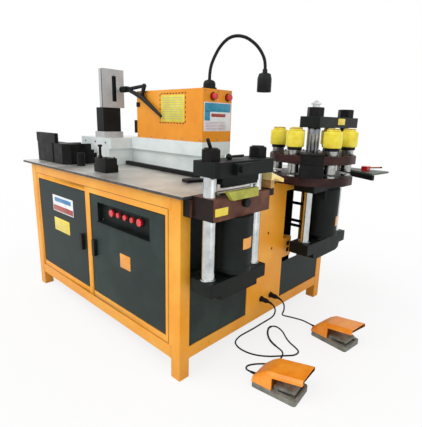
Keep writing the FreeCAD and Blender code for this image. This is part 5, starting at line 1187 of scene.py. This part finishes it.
# %% Where the screws sit
HEAD_Y, REAR_Y, LEFT_X = -355.0, 636.0, -746.0
PANEL_Y = DOOR_Y + 26
TURRET_X, TURRET_Y, TURRET_TOP = 850, 200, 1005
TOOL_ANGLES = [math.radians(90 + 60 * tool + side) for tool in range(6) for side in (-17, 17)]
SCREWS = {  # places, direction, head radius, finish, body, slot and kind
    "bend_head_screws": ([(x, HEAD_Y + 6, 1007) for x in (-530.5, -406.5, -282.5)], (0, -1, 0),
                         6.2, "black_oxide_screw", "machine", "die_black", socket_screw),
    "box_front_screws": ([(x, BOX_Y, 1056) for x in (-140, -10, 120, 265, 408)], (0, -1, 0), 4.5,
                         "zinc_screw_steel", "machine", "box_orange", dome_screw),
    "box_side_screws": ([(BOX_X, y, z) for y in (-186, -85, 16) for z in (1056, 1311)],
                        (1, 0, 0), 4.5, "zinc_screw_steel", "machine", "box_orange", dome_screw),
    "roller_base_screws": ([(42, -548, 945), (42, -496, 945)], (0, 0, 1), 5.0,
                           "black_oxide_screw", "machine", "die_black", socket_screw),
    "rear_cover_screws": ([(x, REAR_Y, z) for x in (-672, -430, -90, 230, 484)
                           for z in (172, 779)] + [(x, REAR_Y, 475) for x in (-672, 484)],
                          (0, 1, 0), 6.0, "zinc_screw_steel", "machine", "cover_paint",
                          dome_screw),
    "left_cover_screws": ([(LEFT_X, y, z) for y in (-566, -190, 190, 566) for z in (172, 779)]
                          + [(LEFT_X, y, 475) for y in (-566, 566)], (-1, 0, 0), 6.0,
                          "zinc_screw_steel", "machine", "cover_paint", dome_screw),
    "panel_screws": ([(x, PANEL_Y, z) for x in (99, 532) for z in (632, 719)], (0, -1, 0), 4.0,
                     "zinc_screw_steel", "door_right", "panel_paint", dome_screw),
    "turret_screws": ([(TURRET_X + 196 * math.cos(a), TURRET_Y + 196 * math.sin(a), TURRET_TOP)
                       for a in TOOL_ANGLES], (0, 0, 1), 5.0, "black_oxide_screw", "turret",
                      "turret_brown", socket_screw),
}
for name, (places, direction, radius, finish, body, slot, item) in SCREWS.items():
    repeat(name, ON_POINTS, new_mesh(name, places, []), item(radius), finish, direction, body)
print("screws:", sum(len(spec[0]) for spec in SCREWS.values()))

# %% [markdown]
# ## Pipe nuts and button rings
# Each oil line ends in a hexagon nut at the punch's cylinder, and each red button sits in a black
# ring. Both are turned parts, and they differ in size and place, so each is its own piece.

# %% Pipe nuts
PIPE_END_X, PIPE_LOW_END_X, PIPE_Y = 758.8, 754.2, 377
PIPE_NUT = [(11.0, -26.0), (14.0, -24.5), (14.0, -10.0), (16.0, -9.0), (16.0, -1.5), (15.0, 0.0)]
for k, (end, level) in enumerate(((PIPE_END_X, 679), (PIPE_END_X, 569), (PIPE_LOW_END_X, 538))):
    mesh = lathe("pipe_nut", PIPE_NUT, 24, hexagons=(3, 4), finish="zinc_screw_steel",
                 middle=(end, PIPE_Y, level), axis="X")
    finish_piece("pipe_nut_%d" % k, mesh, "machine")
print("pipe nuts at x", PIPE_END_X, "mm")

# %% Button rings
BUTTON_FIRST_X, BUTTON_PITCH, BUTTON_Z = 205, 60, 686
for k, radius in enumerate((19.0, 14.0, 14.0, 14.0, 19.0)):
    outline = [(radius + 1.2, 0.1), (radius + 1.6, -3.0), (radius + 4.0, -3.0),
               (radius + 5.5, -1.8), (radius + 5.5, 0.2)]
    mesh = lathe("button_ring", outline, 40, finish="black_satin_paint",
                 middle=(BUTTON_FIRST_X + BUTTON_PITCH * k, PANEL_Y, BUTTON_Z), axis="Y")
    finish_piece("button_ring_%d" % (k + 1), mesh, "door_right")
print("pieces so far:", len(MADE))

# %% [markdown]
# ## Lamp
# The lamp stands on a gooseneck, a flexible steel hose wound from strip, whose turns show as fine
# ribs. A bump would leave its outline smooth, and the neck is seen against white, so the ribs are
# real: a thin core follows the CAD route as a smooth curve, and a rib is set every five
# millimetres along it. A frosted lens closes the head from below.

# %% Gooseneck and lens
NECK_FOOT, NECK_REACH, NECK_RISE, NECK_HEADING_DEG = (383, -112, 1369), 292, 212, 43.5
NECK_SHARES = ((0.0, 0.0), (0.0, 0.24), (0.07, 0.52), (0.19, 0.82), (0.37, 1.03), (0.61, 1.03),
               (0.82, 0.85), (0.945, 0.63), (1.0, 0.43), (1.0, 0.28))
NECK_CORE_RADIUS, NECK_RIB_PITCH_M = 7.9, 0.0052
ahead = [NECK_REACH * f(math.radians(NECK_HEADING_DEG)) for f in (math.cos, math.sin)]
neck_route = [(NECK_FOOT[0] + a * ahead[0], NECK_FOOT[1] + a * ahead[1],
               NECK_FOOT[2] + NECK_RISE * b) for a, b in NECK_SHARES]
neck_line = points_of(nurbs("neck_line", neck_route, 24))
core = tube_along("lamp_neck_core", neck_line, [NECK_CORE_RADIUS] * len(neck_line),
                  "black_satin_paint", "machine")
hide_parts("lamp_neck")
carrier = bpy.data.meshes.new("neck_path")
carrier.from_pydata(neck_line, [(k, k + 1) for k in range(len(neck_line) - 1)], [])
rib = lathe("neck_rib", [(7.2, -2.2), (8.5, -1.3), (8.9, 0.0), (8.5, 1.3), (7.2, 2.2)], 20)
repeat("lamp_neck_ribs", ALONG_PATH, carrier, rib, "black_satin_paint", UPWARD, "machine",
       NECK_RIB_PITCH_M)

head_low, head_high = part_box("lamp_head")
head_x, head_y = ((a + b) * 500 for a, b in zip(head_low[:2], head_high[:2]))
LENS = [(0.5, 7.2), (12.0, 7.6), (24.0, 9.0), (33.0, 12.0), (33.6, 16.0)]
mesh = lathe("lamp_lens", LENS, 40, finish="frosted_lens",
             middle=(head_x, head_y, head_low[2] * 1000))
finish_piece("lamp_lens", mesh, "machine")
print("neck line:", len(neck_line), "points")

# %% [markdown]
# ## Pedal ribs
# A pedal is ribbed across so that a boot doesn't slip on it. The eight ribs are one chamfered bar,
# set on points that climb with the pedal's slope and turned to the foot switch's heading.

# %% Ribs of both pedals
RIB_WIDE, RIB_THICK, RIB_LONG = 3.0, 1.6, 82.0
RIB_OFFSETS = range(24, 82, 8)
PEDAL_TOP, PEDAL_SLOPE, PEDAL_PIVOT = 42.4, 0.0832, 3.6
for name, (x, y, heading_deg) in (("near", (1092, -345, 7.0)), ("far", (1085, 206, -6.5))):
    heading = math.radians(heading_deg)
    places = [(x + math.cos(heading) * u, y + math.sin(heading) * u,
               PEDAL_TOP + (u + PEDAL_PIVOT) * PEDAL_SLOPE) for u in RIB_OFFSETS]
    rib = small_bar("pedal_rib", RIB_WIDE, RIB_THICK, RIB_LONG)
    rib.transform(Matrix.Rotation(heading, 4, "Z") @ Matrix.Rotation(math.radians(90), 4, "X"))
    repeat("pedal_%s_ribs" % name, ON_POINTS, new_mesh("pedal_ribs", places, []), rib,
           "cast_grey", UPWARD, "pedal_" + name)
print("ribs on each pedal:", len(RIB_OFFSETS))

# %% [markdown]
# ## Louvres
# Warm air from the motor leaves through louvres pressed into the rear cover. Each is a low hood of
# the sheet itself, open along its lower side, so that no water runs in. It is made as a closed
# shell with a wall, because a single sheet would have no thickness when it is printed.

# %% Rear louvres
LOUVRE_HALF, LOUVRE_STEPS, LOUVRE_LIP = 60.0, 10, 6.0
LOUVRE_ARC = [math.radians(a) for a in range(0, 91, 18)]
LOUVRE_SKINS = (((8.0, 0.2, 6.0), LOUVRE_ARC), ((7.2, -0.4, 5.8), LOUVRE_ARC[::-1]))


def louvre():
    """A pressed cooling slot: a low hood of sheet steel that is open along its lower side."""
    verts = []
    for k in range(LOUVRE_STEPS + 1):
        x = LOUVRE_HALF * (2 * k / LOUVRE_STEPS - 1)
        swell = math.sqrt(1 - abs(x / LOUVRE_HALF) ** 4)
        for (reach, foot, rise), arc in LOUVRE_SKINS:
            verts += [(x, LOUVRE_LIP - reach * math.cos(a), foot + rise * swell * math.sin(a))
                      for a in arc]
    faces = rings_to_faces(LOUVRE_STEPS + 1, 2 * len(LOUVRE_ARC))
    return new_mesh("louvre", verts, [(face[0], *face[:0:-1]) for face in faces])


places = [(x, REAR_Y, z) for x in (-470, -290) for z in range(520, 741, 24)]
repeat("rear_louvres", ON_POINTS, new_mesh("louvres", places, []), louvre(),
       "dark_textured_paint", (0, 1, 0), "machine")
print("louvres:", len(places))

# %% [markdown]
# ## Weld beads
# The square tubes are welded where a rail meets a leg. A bead is a row of overlapping ripples, one
# for each dip of the rod. So one ripple, a flat dome, is set every 2.4 mm along the joint, and
# both are covered by the same enamel as the tubes.

# %% Welds at every joint
RIPPLE = [(3.4, -0.4), (3.1, 0.9), (2.2, 1.8), (1.0, 2.3), (0.1, 2.4)]
RIPPLE_PITCH_M = 0.0024
JOINTS = ((98, 154), (797, 853))   # heights where a rail meets a leg
WELDS = {  # the joint's two ends for each leg and rail, and the way that the bead faces
    "welds_front": ([((x, -640, a), (x, -640, b)) for x in (-690, 690) for a, b in JOINTS],
                    (0, -1, 0)),
    "welds_rear": ([((x, 640, a), (x, 640, b)) for x in (-690, 690) for a, b in JOINTS],
                   (0, 1, 0)),
    "welds_right": ([((750, y, a), (750, y, b)) for y in (-580, 580) for a, b in JOINTS],
                    (1, 0, 0)),
    "welds_left": ([((-750, y, a), (-750, y, b)) for y in (-580, 580) for a, b in JOINTS],
                   (-1, 0, 0)),
}
for name, (lines, direction) in WELDS.items():
    ends = [end for line in lines for end in line]
    edges = [(k, k + 1) for k in range(0, len(ends), 2)]
    ripple = lathe("ripple", RIPPLE, 12)
    ripple.transform(Matrix.Rotation(math.radians(-90), 4, "X"))
    repeat(name, ALONG_PATH, new_mesh(name, ends, [], edges=edges), ripple, "amber_enamel",
           direction, "machine", RIPPLE_PITCH_M)
print("pieces made:", len(MADE), "faces:", sum(MADE.values()))
